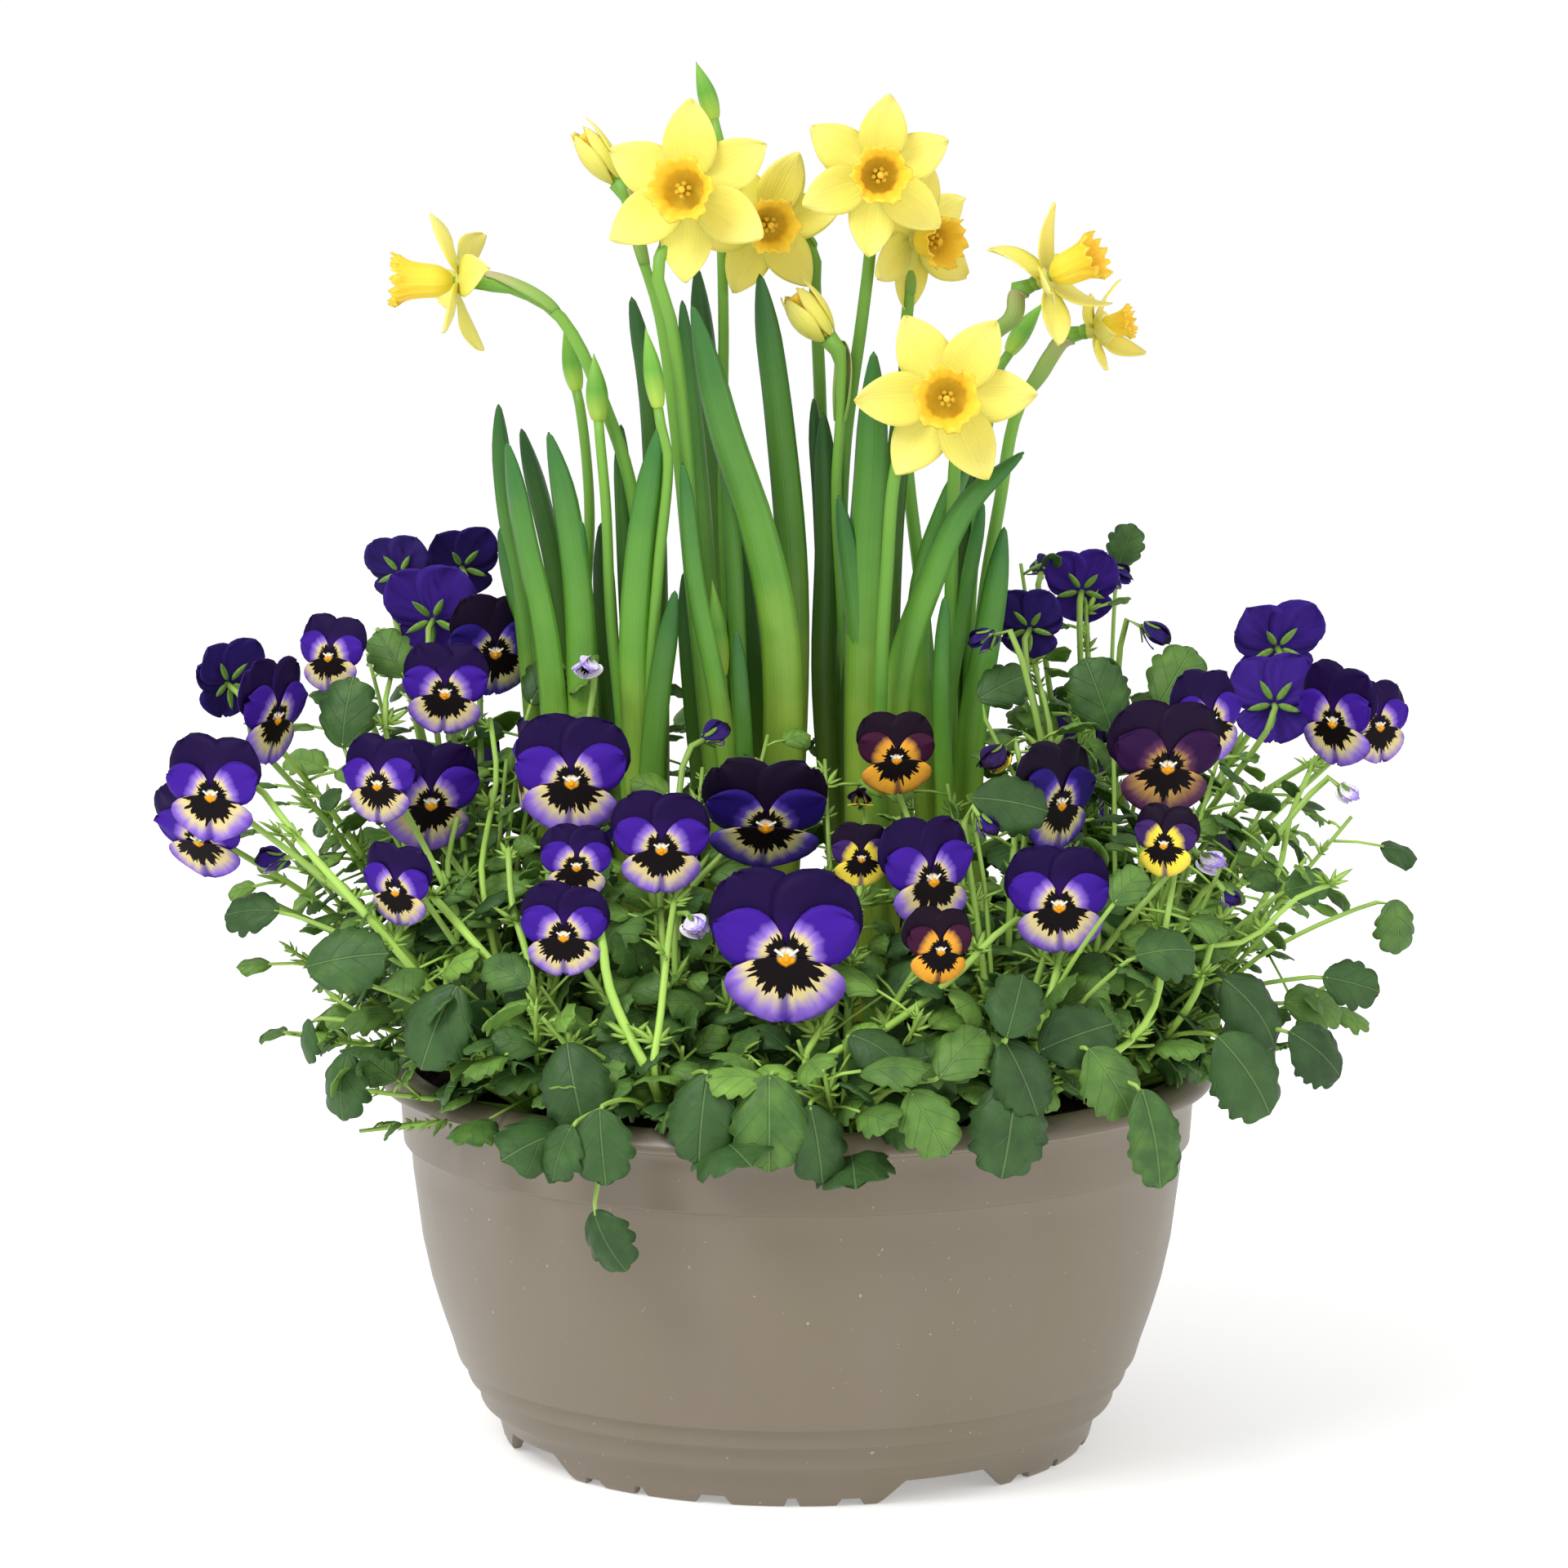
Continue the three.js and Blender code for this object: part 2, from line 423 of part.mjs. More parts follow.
// Strap leaves. route: spots from the tip down; depth at the tip; width; clump
const STRAPS = [
  { route: [[610, 495], [620, 610], [645, 760]], depth: 6, wide: 7.5, clump: 0 },
  { route: [[621, 541], [640, 650], [671, 805]], depth: -10, wide: 9, clump: 0 },
  { route: [[638, 525], [664, 620], [692, 762]], depth: 16, wide: 8, clump: 0 },
  { route: [[672, 529], [692, 620], [710, 760]], depth: 0, wide: 10, clump: 0 },
  { route: [[711, 636], [714, 749]], depth: -12, wide: 4.5, clump: 0 },
  { route: [[612, 647], [630, 730], [656, 805]], depth: -20, wide: 6, clump: 0 },
  { route: [[760, 520], [766, 640], [772, 760]], depth: 4, wide: 7, clump: 1 },
  { route: [[808, 521], [786, 640], [775, 783], [780, 930]], depth: -22, wide: 9.5, clump: 1 },
  { route: [[827, 723], [806, 850], [797, 957]], depth: -28, wide: 8, clump: 1 },
  { route: [[773, 363], [790, 450], [800, 560]], depth: 20, wide: 7, clump: 1 },
  { route: [[836, 567], [852, 720], [884, 883]], depth: -26, wide: 6.5, clump: 2 },
  { route: [[886, 500], [896, 640], [901, 762]], depth: -12, wide: 6, clump: 2 },
  { route: [[902, 773], [910, 892]], depth: -32, wide: 5.5, clump: 2 },
  { route: [[848, 373], [884, 523], [927, 653], [955, 800]], depth: -20, wide: 13, clump: 2 },
  { route: [[930, 335], [955, 520], [972, 740]], depth: 2, wide: 10, clump: 2 },
  { route: [[853, 327], [868, 480], [880, 640]], depth: 24, wide: 9, clump: 2 },
  { route: [[835, 368], [850, 500], [862, 640]], depth: 8, wide: 6, clump: 2 },
  { route: [[1027, 606], [1046, 740], [1057, 849]], depth: -26, wide: 8, clump: 3 },
  { route: [[1070, 430], [1066, 560], [1057, 720]], depth: -8, wide: 12, clump: 3 },
  { route: [[996, 488], [1006, 600], [1014, 740]], depth: 14, wide: 7, clump: 3 },
  { route: [[1120, 400], [1104, 520], [1090, 680]], depth: 12, wide: 8, clump: 3 },
  { route: [[1254, 554], [1187, 612], [1144, 697], [1096, 850]], depth: -20, wide: 9.5, clump: 3 },
  { route: [[1196, 545], [1160, 620], [1126, 740]], depth: 6, wide: 8, clump: 4 },
  { route: [[1230, 645], [1212, 760], [1187, 920]], depth: -10, wide: 9.5, clump: 4 },
  { route: [[1157, 731], [1152, 860]], depth: -22, wide: 6, clump: 4 },
  { route: [[1204, 614], [1180, 740], [1156, 900]], depth: -2, wide: 5.5, clump: 4 },
  { route: [[1200, 470], [1190, 600], [1170, 760]], depth: 34, wide: 8, clump: 4 },
];

const TONES = {
  violet: 0x3a2296, dark: 0x200a3a, golden: 0xd9b23a, amber: 0xc98a2c, maroon: 0x3a1030,
};
const finish = (color, roughness, metalness = 0) =>
  new THREE.MeshStandardMaterial({ color, roughness, metalness });
const BOWL_PLASTIC = finish(0x95897a, 0.42);
const DARK_SOIL = finish(0x2a1712, 0.95);
const PANSY_GREEN = finish(0x5f8f3c, 0.6);
const DAFFODIL_GREEN = finish(0x5e9a3c, 0.5);
const DAFFODIL_YELLOW = finish(0xf8ef7a, 0.55);
const TRUMPET_YELLOW = finish(0xf9c80e, 0.5);

// What stands already, piece by piece, for keeping each new piece clear of other nodes
const standing = [];

function boxesMeet(a, b) {
  return [0, 1, 2].every((k) => a.min[k] - CLEAR < b.max[k] && b.min[k] - CLEAR < a.max[k]);
}

function isClear(body, owner = "") {
  const box = body.boundingBox();
  const apart = (other) => !boxesMeet(box, other.box) || body.minGap(other.body, 1) > CLEAR - 0.1;
  return standing.every((other) => other.owner === owner || apart(other));
}

function stand(body, owner) {
  standing.push({ body, owner, box: body.boundingBox() });
  return body;
}

// The first of several tries that is clear of every other node, or null
function firstClear(tries, owner) {
  for (const attempt of tries) {
    const body = attempt();
    if (isClear(body, owner)) return stand(body, owner);
  }
  return null;
}

// As above, for a piece that the planter cannot do without
function needed(tries, owner, place) {
  const body = firstClear(tries, owner);
  if (!body) throw new Error(`${owner}: no clear way for the piece at ${place}`);
  return body;
}

// Half of a bloom's outline as shares of its width, from the lower petal past the side petal to the
// upper one, cut in to the throat between them; back: how far that corner leans behind the throat
const BLOOM_HALF = [
  { x: 0.15, y: -0.43, back: 0.02 }, { x: 0.27, y: -0.34, back: 0.02 },
  { x: 0.21, y: -0.19, back: 0.03 }, { x: 0.4, y: -0.18, back: 0.03 },
  { x: 0.49, y: 0.02, back: 0.04 }, { x: 0.32, y: 0.14, back: 0.04 },
  { x: 0.47, y: 0.27, back: 0.1 }, { x: 0.42, y: 0.48, back: 0.13 },
  { x: 0.19, y: 0.58, back: 0.13 }, { x: 0, y: 0.46, back: 0.1 },
];

function bloomPetals({ wide }) {
  const apart = (spot, x, y) => Math.hypot(spot.x - Math.abs(x), spot.y - y);
  const bend = (x, y) => {
    const corner = BLOOM_HALF.find((spot) => apart(spot, x / wide, y / wide) < 0.01);
    return -corner.back * wide;
  };
  const outline = mirrored(BLOOM_HALF.map(({ x, y }) => [x * wide, y * wide]));
  return blade(outline, PETAL_THICK, bend);
}

// A folded bloom or opening bud: rolled petals, widest near their ends
function foldedBloom(bloom) {
  const long = bloom.wide * 0.9;
  const widths = [0, 0.5, 0.68, 0.34].map((share) => share * bloom.wide);
  const geometry = new THREE.CylinderGeometry(1, 1, 1, 4, 3);
  const spots = geometry.attributes.position;
  for (let i = 0; i < spots.count; i += 1) {
    const row = Math.round((spots.getY(i) + 0.5) * 3);
    const [x, y] = [(spots.getX(i) * widths[row]) / 2, (spots.getZ(i) * widths[row]) / 3.4];
    spots.setXYZ(i, x, y, (row * long) / 3);
  }
  return geometry;
}

function bloomBody(bloom) {
  const axes = facing(bloom.turn, bloom.tilt, bloom.lean);
  const petals = bloom.form === "folded" ? foldedBloom(bloom) : bloomPetals(bloom);
  return solid(placed(petals, bloom.centre, axes));
}

// The plant whose crown is nearest
function nearestPlant(place) {
  const far = ({ at: [x, y] }) => Math.hypot(place.x - x, place.y - y);
  return PANSY_CROWNS.reduce((best, plant) => (far(plant) < far(best) ? plant : best));
}

function crownTop({ at: [x, y] }, height) {
  return vec(x, y, soilHeight(x, y) + height);
}

// Ways to bow a stalk, sideways and upward, until it clears what it passes
const BOWS = [
  [0, 0], [7, 0], [-7, 0], [14, 0], [-14, 0], [0, 8], [0, -8], [22, 0], [-22, 0], [10, 12],
  [-10, 12], [0, 18], [16, -8], [-16, -8], [30, 6], [-30, 6], [0, 28],
];

function bowed(middle, from, to, [sideways, upward]) {
  const side = to.clone().sub(from).setZ(0).normalize().cross(UP);
  return middle.clone().addScaledVector(side, sideways).addScaledVector(UP, upward);
}

// The flower stalk: up from the crown, over the back of the bloom, and in along its axis
function stalkCurve(plant, bloom, bow) {
  const { normal } = facing(bloom.turn, bloom.tilt);
  const seat = -(THROAT_BACK * bloom.wide + PETAL_THICK / 2 + SEAT_GAP);
  const sunk = bloom.form === "folded" ? ROOT_SINK * 1.5 : ROOT_SINK / 2;
  const end = bloom.centre.clone().addScaledVector(normal, bloom.own ? seat : sunk);
  const neck = end.clone().addScaledVector(normal, -6);
  const behind = end.clone().addScaledVector(normal, -11).addScaledVector(UP, -5);
  const from = crownStart(plant, end);
  const middle = from.clone().lerp(behind, 0.5).addScaledVector(UP, 0.08 * from.distanceTo(behind));
  return curved([from, bowed(middle, from, behind, bow), behind, neck, end]);
}

// Each stalk leaves the crown on the side that it grows to, a little higher than the one before
function crownStart(plant, target) {
  plant.started = ((plant.started ?? 0) + 1) % 7;
  const from = crownTop(plant, 1 + 1.6 * plant.started);
  const way = target.clone().sub(from).setZ(0).normalize();
  return from.addScaledVector(way, 0.35 * CROWN_RADIUS);
}

function stalkBody(plant, bloom, bow) {
  const curve = stalkCurve(plant, bloom, bow);
  const long = curve.getLength();
  const calyx = 1 - CALYX_LONG / long;
  const wide = (stage) => (stage === 0 ? 0 : 2 * STALK_RADIUS * (stage === 1 ? CALYX_FLARE : 1));
  return grown(curve, { sides: 3, stages: [0, 0.36, 0.72, calyx, 1], wide });
}

const LEAF_HALF = [[0.06, 0], [0.35, 0.3], [0.4, 0.62], [0.22, 0.9]];
const NARROW_LEAF_HALF = [[0.05, 0], [0.26, 0.4], [0.2, 0.8]];
const SMALL_LEAF_HALF = [[0.07, 0], [0.36, 0.42], [0.28, 0.84]];

function leafOutline(leaf) {
  const large = leaf.long >= 27 ? LEAF_HALF : SMALL_LEAF_HALF;
  const half = leaf.narrow ? NARROW_LEAF_HALF : large;
  return mirrored([...half, [0, 1]]).map(([x, y]) => [x * leaf.long, (y - 0.5) * leaf.long]);
}

// How high the blade stands over its flat middle: arched along and across, with its tip nodding
const leafArch = (long) => (x, y) => 0.1 * long - (1.2 * x * x + 0.5 * y * y) / long - 0.12 * y;

function leafBlade(leaf, centre, axes) {
  return solid(placed(blade(leafOutline(leaf), LEAF_THICK, leafArch(leaf.long)), centre, axes));
}

// A place on the blade's midline, as a share of its length from the base
function onMidline(leaf, centre, axes, share) {
  const y = (share - 0.5) * leaf.long;
  return centre.clone().addScaledVector(axes.top, y).addScaledVector(axes.normal, leafArch(leaf.long)(0, y));
}

// The leaf stalk: out of the crown and, for a leaf that hangs outside, over the rim
function petiole(plant, leaf, centre, axes, bow) {
  const base = onMidline(leaf, centre, axes, 0);
  const root = base.clone().addScaledVector(axes.top, ROOT_SINK);
  const from = crownStart(plant, base);
  const points = [from];
  const out = Math.hypot(base.x, base.y);
  if (out > RIM_RADIUS - 14 && base.z < BOWL_HEIGHT + 6) {
    const over = (share, height) => {
      const reach = (share * (RIM_RADIUS - 1)) / out;
      return vec(base.x * reach, base.y * reach, BOWL_HEIGHT + height + 0.4 * Math.abs(bow[1]));
    };
    points.push(over(0.93, 5), over(1.03, 3));
  } else {
    const middle = from.clone().lerp(base, 0.5).addScaledVector(UP, 0.12 * from.distanceTo(base));
    points.push(bowed(middle, from, base, bow));
  }
  const curve = curved([...points, base, root]);
  const wide = (stage) => 2 * PETIOLE_RADIUS * (stage === 0 || stage === 1 ? 0 : 1);
  return grown(curve, { sides: 3, stages: points.length > 2 ? [0, 0.36, 0.7, 1] : [0, 0.55, 1], wide });
}

// A leaf with its stalk, with its blade shifted a little along its face until both are clear
const LEAF_SHIFTS = [0, 5, -5, 10, -10, 16];

function leafTries(plant, leaf) {
  const axes = facing(leaf.turn, leaf.tilt, leaf.lean);
  const tries = [];
  for (const strict of [true, false]) {
    for (const shift of LEAF_SHIFTS) {
      const centre = leaf.centre.clone().addScaledVector(axes.normal, shift);
      const face = leafBlade(leaf, centre, axes);
      if (strict && !isClear(face)) continue;
      for (const bow of BOWS.slice(0, 9)) {
        tries.push(() => wasm.Manifold.union([face, petiole(plant, leaf, centre, axes, bow)]));
      }
    }
  }
  return tries;
}

const group = new THREE.Group();

function add(name, body, material) {
  const mesh = new THREE.Mesh(geometryOf(body), material);
  mesh.name = name;
  group.add(mesh);
}

// Daffodil flower parts, facing along +Z with the throat at the origin: six petals, three of them
// standing forward of the other three
const TEPAL = [[-0.24, 0.47], [-0.19, 0.8], [0, 1], [0.19, 0.8], [0.24, 0.47]];
const TEPAL_NOTCH = 0.22;
const TEPAL_THICK = 0.8;
const TEPAL_FORWARD = 1.1;
const FLOWER_CORE = 4;
const FLOWER_TUBE = 5;
const TRUMPET_SEAT = 1;

function perianth(flower, axes) {
  const reach = flower.across / 2;
  const closing = flower.closing ?? 0.1;
  const notch = [TEPAL_NOTCH * Math.sin(radians(30)), TEPAL_NOTCH * Math.cos(radians(30))];
  const outline = Array.from({ length: 6 }, (_, k) => {
    const [c, s] = [Math.cos(radians(60 * k)), Math.sin(radians(60 * k))];
    return [...TEPAL, notch].map(([x, y]) => [(x * c + y * s) * reach, (y * c - x * s) * reach]);
  }).flat();
  const bend = (x, y) => {
    const out = Math.max(0, Math.hypot(x, y) / reach - TEPAL_NOTCH);
    const petal = Math.round(Math.atan2(x, y) / radians(60));
    const forward = petal % 2 === 0 ? TEPAL_FORWARD : -TEPAL_FORWARD;
    return forward * Math.min(1, 4 * out) + closing * reach * out ** 2;
  };
  const core = new THREE.CylinderGeometry(FLOWER_CORE, 2.2, FLOWER_TUBE, 4).rotateX(Math.PI / 2);
  const pieces = [blade(outline.reverse(), TEPAL_THICK, bend), core.translate(0, 0, -FLOWER_TUBE / 2)];
  return join(pieces.map((piece) => solid(placed(piece, flower.centre, axes))));
}

// Trumpet: a hollow cup with a frilled mouth and the stigma standing in it
const FRILLS = 4;

function corona(flower, axes) {
  const long = flower.trumpet;
  const mouth = 0.155 * flower.across;
  const waist = 0.09 * flower.across;
  const section = [
    [0, TRUMPET_SEAT], [waist, TRUMPET_SEAT], [1.1 * waist, 0.5 * long], [mouth, long],
    [1.1 * waist - 1, 0.5 * long], [0.9, 1.8], [0, 0.85 * long],
  ].map(([r, z]) => new THREE.Vector2(r, z));
  const cup = new THREE.LatheGeometry(section, 2 * FRILLS).rotateX(Math.PI / 2);
  const spots = cup.attributes.position;
  for (let i = 0; i < spots.count; i += 1) {
    const angle = Math.atan2(spots.getY(i), spots.getX(i));
    const flare = spots.getZ(i) > 0.9 * long ? 1 + 0.1 * Math.cos(FRILLS * angle) : 1;
    spots.setXY(i, spots.getX(i) * flare, spots.getY(i) * flare);
  }
  return solid(placed(cup, flower.centre, axes));
}

function routeDown(spots, depth, clump) {
  const root = vec(clump.at[0], clump.at[1], soilHeight(...clump.at) + 2);
  const last = spots[spots.length - 1];
  const near = seen(last, depth);
  const spread = Math.min(1, (clump.radius * 0.62) / Math.hypot(near.x - root.x, near.y - root.y));
  const foot = root.clone().add(near.clone().sub(root).setZ(0).multiplyScalar(spread));
  return [...spots.map((spot) => seen(spot, depth)), foot].reverse();
}

// A stem that rises from its clump and turns over at its top into the back of its flower
function flowerStem(flower, clump, shift) {
  const end = flower.centre.clone().addScaledVector(flower.axes.normal, -FLOWER_TUBE - SEAT_GAP);
  const neck = end.clone().addScaledVector(flower.axes.normal, -7);
  const route = routeDown(flower.stem, flower.depth + shift, clump);
  const curve = curved([...route, neck, end]);
  return grown(curve, { sides: 4, stages: [0, 0.22, 0.45, 0.68, 0.88, 0.95, 1], wide: tapered(5, 3.4) });
}

function budStem(bud, clump, shift) {
  const depth = bud.depth + shift;
  const [tip, base] = [bud.tip, bud.base].map((spot) => seen(spot, depth));
  const neck = base.clone().lerp(tip, -0.25);
  const curve = curved([...routeDown(bud.stem, depth, clump), neck, base]);
  const stem = grown(curve, { sides: 4, stages: [0, 0.2, 0.45, 0.7, 0.93, 1], wide: tapered(4.4, 3) });
  if (bud.yellow) return stem;
  return wasm.Manifold.union([stem, budBody(tip, base, bud.wide, -ROOT_SINK)]);
}

// A bud from its base to its pointed tip; a gap below zero sinks its base into the stem
function budBody(tip, base, wide, gap) {
  const along = tip.clone().sub(base).normalize();
  const start = base.clone().addScaledVector(along, gap);
  const swell = (stage) => 0.35 + 0.65 * Math.sin(Math.PI * Math.min(1, 0.12 + 0.95 * stage));
  const curve = new THREE.LineCurve3(start, tip);
  const girth = (stage) => (stage === 1 ? 0 : wide * (swell(stage) - 0.2 * stage));
  return grown(curve, { sides: 4, stages: [0, 0.35, 0.8, 1], wide: girth });
}

function strap(leaf, clump, shift) {
  const curve = curved(routeDown(leaf.route, leaf.depth + shift, clump));
  const ends = (stage) => (stage === 0 || stage === 1 ? 0 : 1);
  const wide = (stage) => leaf.wide * (0.72 + 0.28 * Math.sin(Math.PI * stage)) * ends(stage);
  const thick = (stage) => (2.4 - 1.2 * stage) * ends(stage);
  const across = vec(1, 0.25 * Math.sign(leaf.depth), 0);
  return grown(curve, { sides: 4, stages: [0, 0.06, 0.34, 0.64, 0.88, 1], wide, thick, across });
}

const DEPTH_SHIFTS = [0, 4, -4, 8, -8, 12, -12, 18, -18, 26];

// The bowl and the soil, with a hole in the soil for each crown and each cluster of bulb necks
function plantedBowl(crowns, necks) {
  add("planter_bowl", stand(bowl(), "planter_bowl"), BOWL_PLASTIC);
  add("soil", stand(soil([...crowns, ...necks].map(({ hole }) => hole)), "soil"), DARK_SOIL);
}

const spotOf = (piece) => piece.at ?? piece.centre.toArray().map(Math.round);
const alone = (name, body) => needed([() => body], name, name);

function ownBlooms(blooms) {
  blooms.filter((bloom) => bloom.own).forEach((bloom, k) => {
    const name = `pansy_bloom_${String(k + 1).padStart(2, "0")}`;
    add(name, alone(name, bloomBody(bloom)), finish(TONES[bloom.tone], 0.7));
  });
}

function daffodilFlowers(flowers) {
  flowers.forEach((flower, k) => {
    const [petals, trumpet] = [`daffodil_petals_${k + 1}`, `daffodil_trumpet_${k + 1}`];
    add(petals, alone(petals, perianth(flower, flower.axes)), DAFFODIL_YELLOW);
    add(trumpet, alone(trumpet, corona(flower, flower.axes)), TRUMPET_YELLOW);
  });
  BUDS.filter((bud) => bud.yellow).forEach((bud, k) => {
    const name = `daffodil_half_open_bud_${k + 1}`;
    const body = budBody(seen(bud.tip, bud.depth), seen(bud.base, bud.depth), bud.wide, SEAT_GAP);
    add(name, alone(name, body), DAFFODIL_YELLOW);
  });
}

function daffodilClumps(flowers, necks) {
  const plans = CLUMPS.map((clump, k) => {
    const node = `daffodil_clump_${clump.name}`;
    return { ...clump, node, pieces: [stand(necks[k].body, node)] };
  });
  const grow = (clump, shifts, piece, spot) => {
    const tries = shifts.map((shift) => () => piece(shift));
    clump.pieces.push(needed(tries, clump.node, spot));
  };
  flowers.forEach((flower) => {
    const clump = plans[flower.clump];
    grow(clump, DEPTH_SHIFTS, (shift) => flowerStem(flower, clump, shift), flower.at);
  });
  BUDS.forEach((bud) => {
    const clump = plans[bud.clump];
    grow(clump, bud.yellow ? [0] : DEPTH_SHIFTS, (shift) => budStem(bud, clump, shift), bud.tip);
  });
  STRAPS.forEach((leaf) => {
    const clump = plans[leaf.clump];
    grow(clump, DEPTH_SHIFTS, (shift) => strap(leaf, clump, shift), leaf.route[0]);
  });
  plans.forEach((clump) => add(clump.node, join(clump.pieces), DAFFODIL_GREEN));
}

function pansyPlants(blooms, crowns) {
  PANSY_CROWNS.forEach((plant, k) => {
    plant.node = `pansy_plant_${plant.name}`;
    plant.pieces = [stand(crowns[k].body, plant.node)];
  });
  blooms.filter((bloom) => !bloom.own).forEach((bloom) => {
    const plant = nearestPlant(bloom.centre);
    plant.pieces.push(needed([() => bloomBody(bloom)], plant.node, spotOf(bloom)));
  });
  blooms.forEach((bloom) => {
    const plant = nearestPlant(bloom.centre);
    const tries = BOWS.map((bow) => () => stalkBody(plant, bloom, bow));
    plant.pieces.push(needed(tries, plant.node, spotOf(bloom)));
  });
  PANSY_LEAVES.forEach((row) => {
    const leaf = { ...row, centre: seen(row.at, row.depth) };
    const plant = nearestPlant(leaf.centre);
    plant.pieces.push(needed(leafTries(plant, leaf), plant.node, leaf.at));
  });
  fillLeaves().forEach(({ plant, leaf }) => {
    const body = firstClear(leafTries(plant, leaf).slice(0, FILL.tries), plant.node);
    if (body) plant.pieces.push(body);
  });
  PANSY_CROWNS.forEach((plant) => add(plant.node, join(plant.pieces), PANSY_GREEN));
}

function farBlooms() {
  const draw = draws(FAR_BLOOMS.seed);
  const { from, to, count, radius, height, wide, inward, upward } = FAR_BLOOMS;
  return Array.from({ length: count }, (_, k) => {
    const angle = from + ((to - from) * k) / (count - 1) + 5 * (draw() - 0.5);
    const out = radius + 24 * (draw() - 0.5) - (k % 2) * inward;
    const rise = height + 26 * (draw() - 0.5) + (k % 2) * upward;
    const centre = vec(out * Math.cos(radians(angle)), out * Math.sin(radians(angle)), rise);
    const [size, tilt] = [wide * (0.8 + 0.35 * draw()), 6 * (draw() - 0.5)];
    return { centre, wide: size, turn: angle + 90, tilt, tone: "violet" };
  });
}

function fillLeaves() {
  const draw = draws(FILL.seed);
  return PANSY_CROWNS.slice(FILL.from).flatMap((plant) => {
    const [x, y] = plant.at;
    const home = (Math.atan2(y, x) * 180) / Math.PI;
    return Array.from({ length: FILL.each }, (_, k) => {
      const angle = home + (k - (FILL.each - 1) / 2) * FILL.spread + 14 * (draw() - 0.5);
      const reach = FILL.reach * (0.45 + 0.55 * draw());
      const out = vec(Math.cos(radians(angle)), Math.sin(radians(angle)), 0);
      const centre = crownTop(plant, 16 + 34 * draw()).addScaledVector(out, reach);
      const long = FILL.long * (0.75 + 0.4 * draw());
      const [lean, tilt] = [180 + 50 * (draw() - 0.5), 35 + 30 * draw()];
      return { plant, leaf: { centre, long, lean, turn: angle + 90, tilt } };
    });
  });
}

const pansyCrowns = PANSY_CROWNS.map(({ at }) => crown(at, CROWN_RADIUS, CROWN_RISE, 5));
const bulbNecks = CLUMPS.map(({ at, radius }) => crown(at, radius, 10, 6));
const nearBlooms = PANSY_BLOOMS.map((row) => ({ ...row, centre: seen(row.at, row.depth) }));
const pansyBlooms = [...nearBlooms, ...farBlooms()];
const openDaffodils = DAFFODILS.map((row) => ({
  ...row,
  centre: seen(row.at, row.depth),
  axes: facing(row.turn, row.tilt, row.lean),
}));

plantedBowl(pansyCrowns, bulbNecks);
ownBlooms(pansyBlooms);
daffodilFlowers(openDaffodils);
daffodilClumps(openDaffodils, bulbNecks);
pansyPlants(pansyBlooms, pansyCrowns);

export default group;
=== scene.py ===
"""Looks of the potted pansy planter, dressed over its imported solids.

A moulded plastic bowl of soil holds nine small-flowered pansy plants round its edge and five clumps
of dwarf daffodils in its middle. Lengths here are millimetres, and meshes are written in metres.
"""

from __future__ import annotations

import logging
import math
import random
from dataclasses import dataclass, field
from enum import Enum
from functools import partial
from itertools import product
from typing import Callable, Iterable, NamedTuple, Sequence

import bpy
import numpy as np
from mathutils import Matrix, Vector
from mathutils.bvhtree import BVHTree


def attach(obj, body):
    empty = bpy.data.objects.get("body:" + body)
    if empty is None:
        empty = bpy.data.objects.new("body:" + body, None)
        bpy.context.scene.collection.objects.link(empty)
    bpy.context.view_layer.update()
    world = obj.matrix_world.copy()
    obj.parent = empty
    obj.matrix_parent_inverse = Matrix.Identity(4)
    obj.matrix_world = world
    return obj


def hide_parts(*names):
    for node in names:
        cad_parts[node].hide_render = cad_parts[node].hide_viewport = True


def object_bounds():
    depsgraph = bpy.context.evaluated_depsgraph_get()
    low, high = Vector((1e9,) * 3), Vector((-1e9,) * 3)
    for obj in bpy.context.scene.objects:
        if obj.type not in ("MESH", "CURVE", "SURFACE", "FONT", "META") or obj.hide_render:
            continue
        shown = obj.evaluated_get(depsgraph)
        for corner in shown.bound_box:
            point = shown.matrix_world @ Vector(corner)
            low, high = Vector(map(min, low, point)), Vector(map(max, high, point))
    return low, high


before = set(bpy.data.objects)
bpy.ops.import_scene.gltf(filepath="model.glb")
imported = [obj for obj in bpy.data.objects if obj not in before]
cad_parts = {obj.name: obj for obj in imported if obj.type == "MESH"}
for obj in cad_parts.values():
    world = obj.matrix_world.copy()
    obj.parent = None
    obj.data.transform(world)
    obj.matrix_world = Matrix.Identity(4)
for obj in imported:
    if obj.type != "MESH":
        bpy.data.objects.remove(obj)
CAD_BOX = [list(corner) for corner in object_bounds()]

LOG = logging.getLogger("planter")
MM = 0.001
TINY = 1e-9
UP = np.array([0.0, 0.0, 1.0])
LEVEL = np.array([1.0, 1.0, 0.0])
Spots = np.ndarray
Spot = tuple[float, float]
Thing = bpy.types.Object
Finish = bpy.types.Material


class Tone(Enum):
    """The colourings of the pansy blooms."""

    VIOLET = "violet"
    DARK = "dark"
    GOLDEN = "golden"
    AMBER = "amber"
    MAROON = "maroon"
    WHITE = "white"


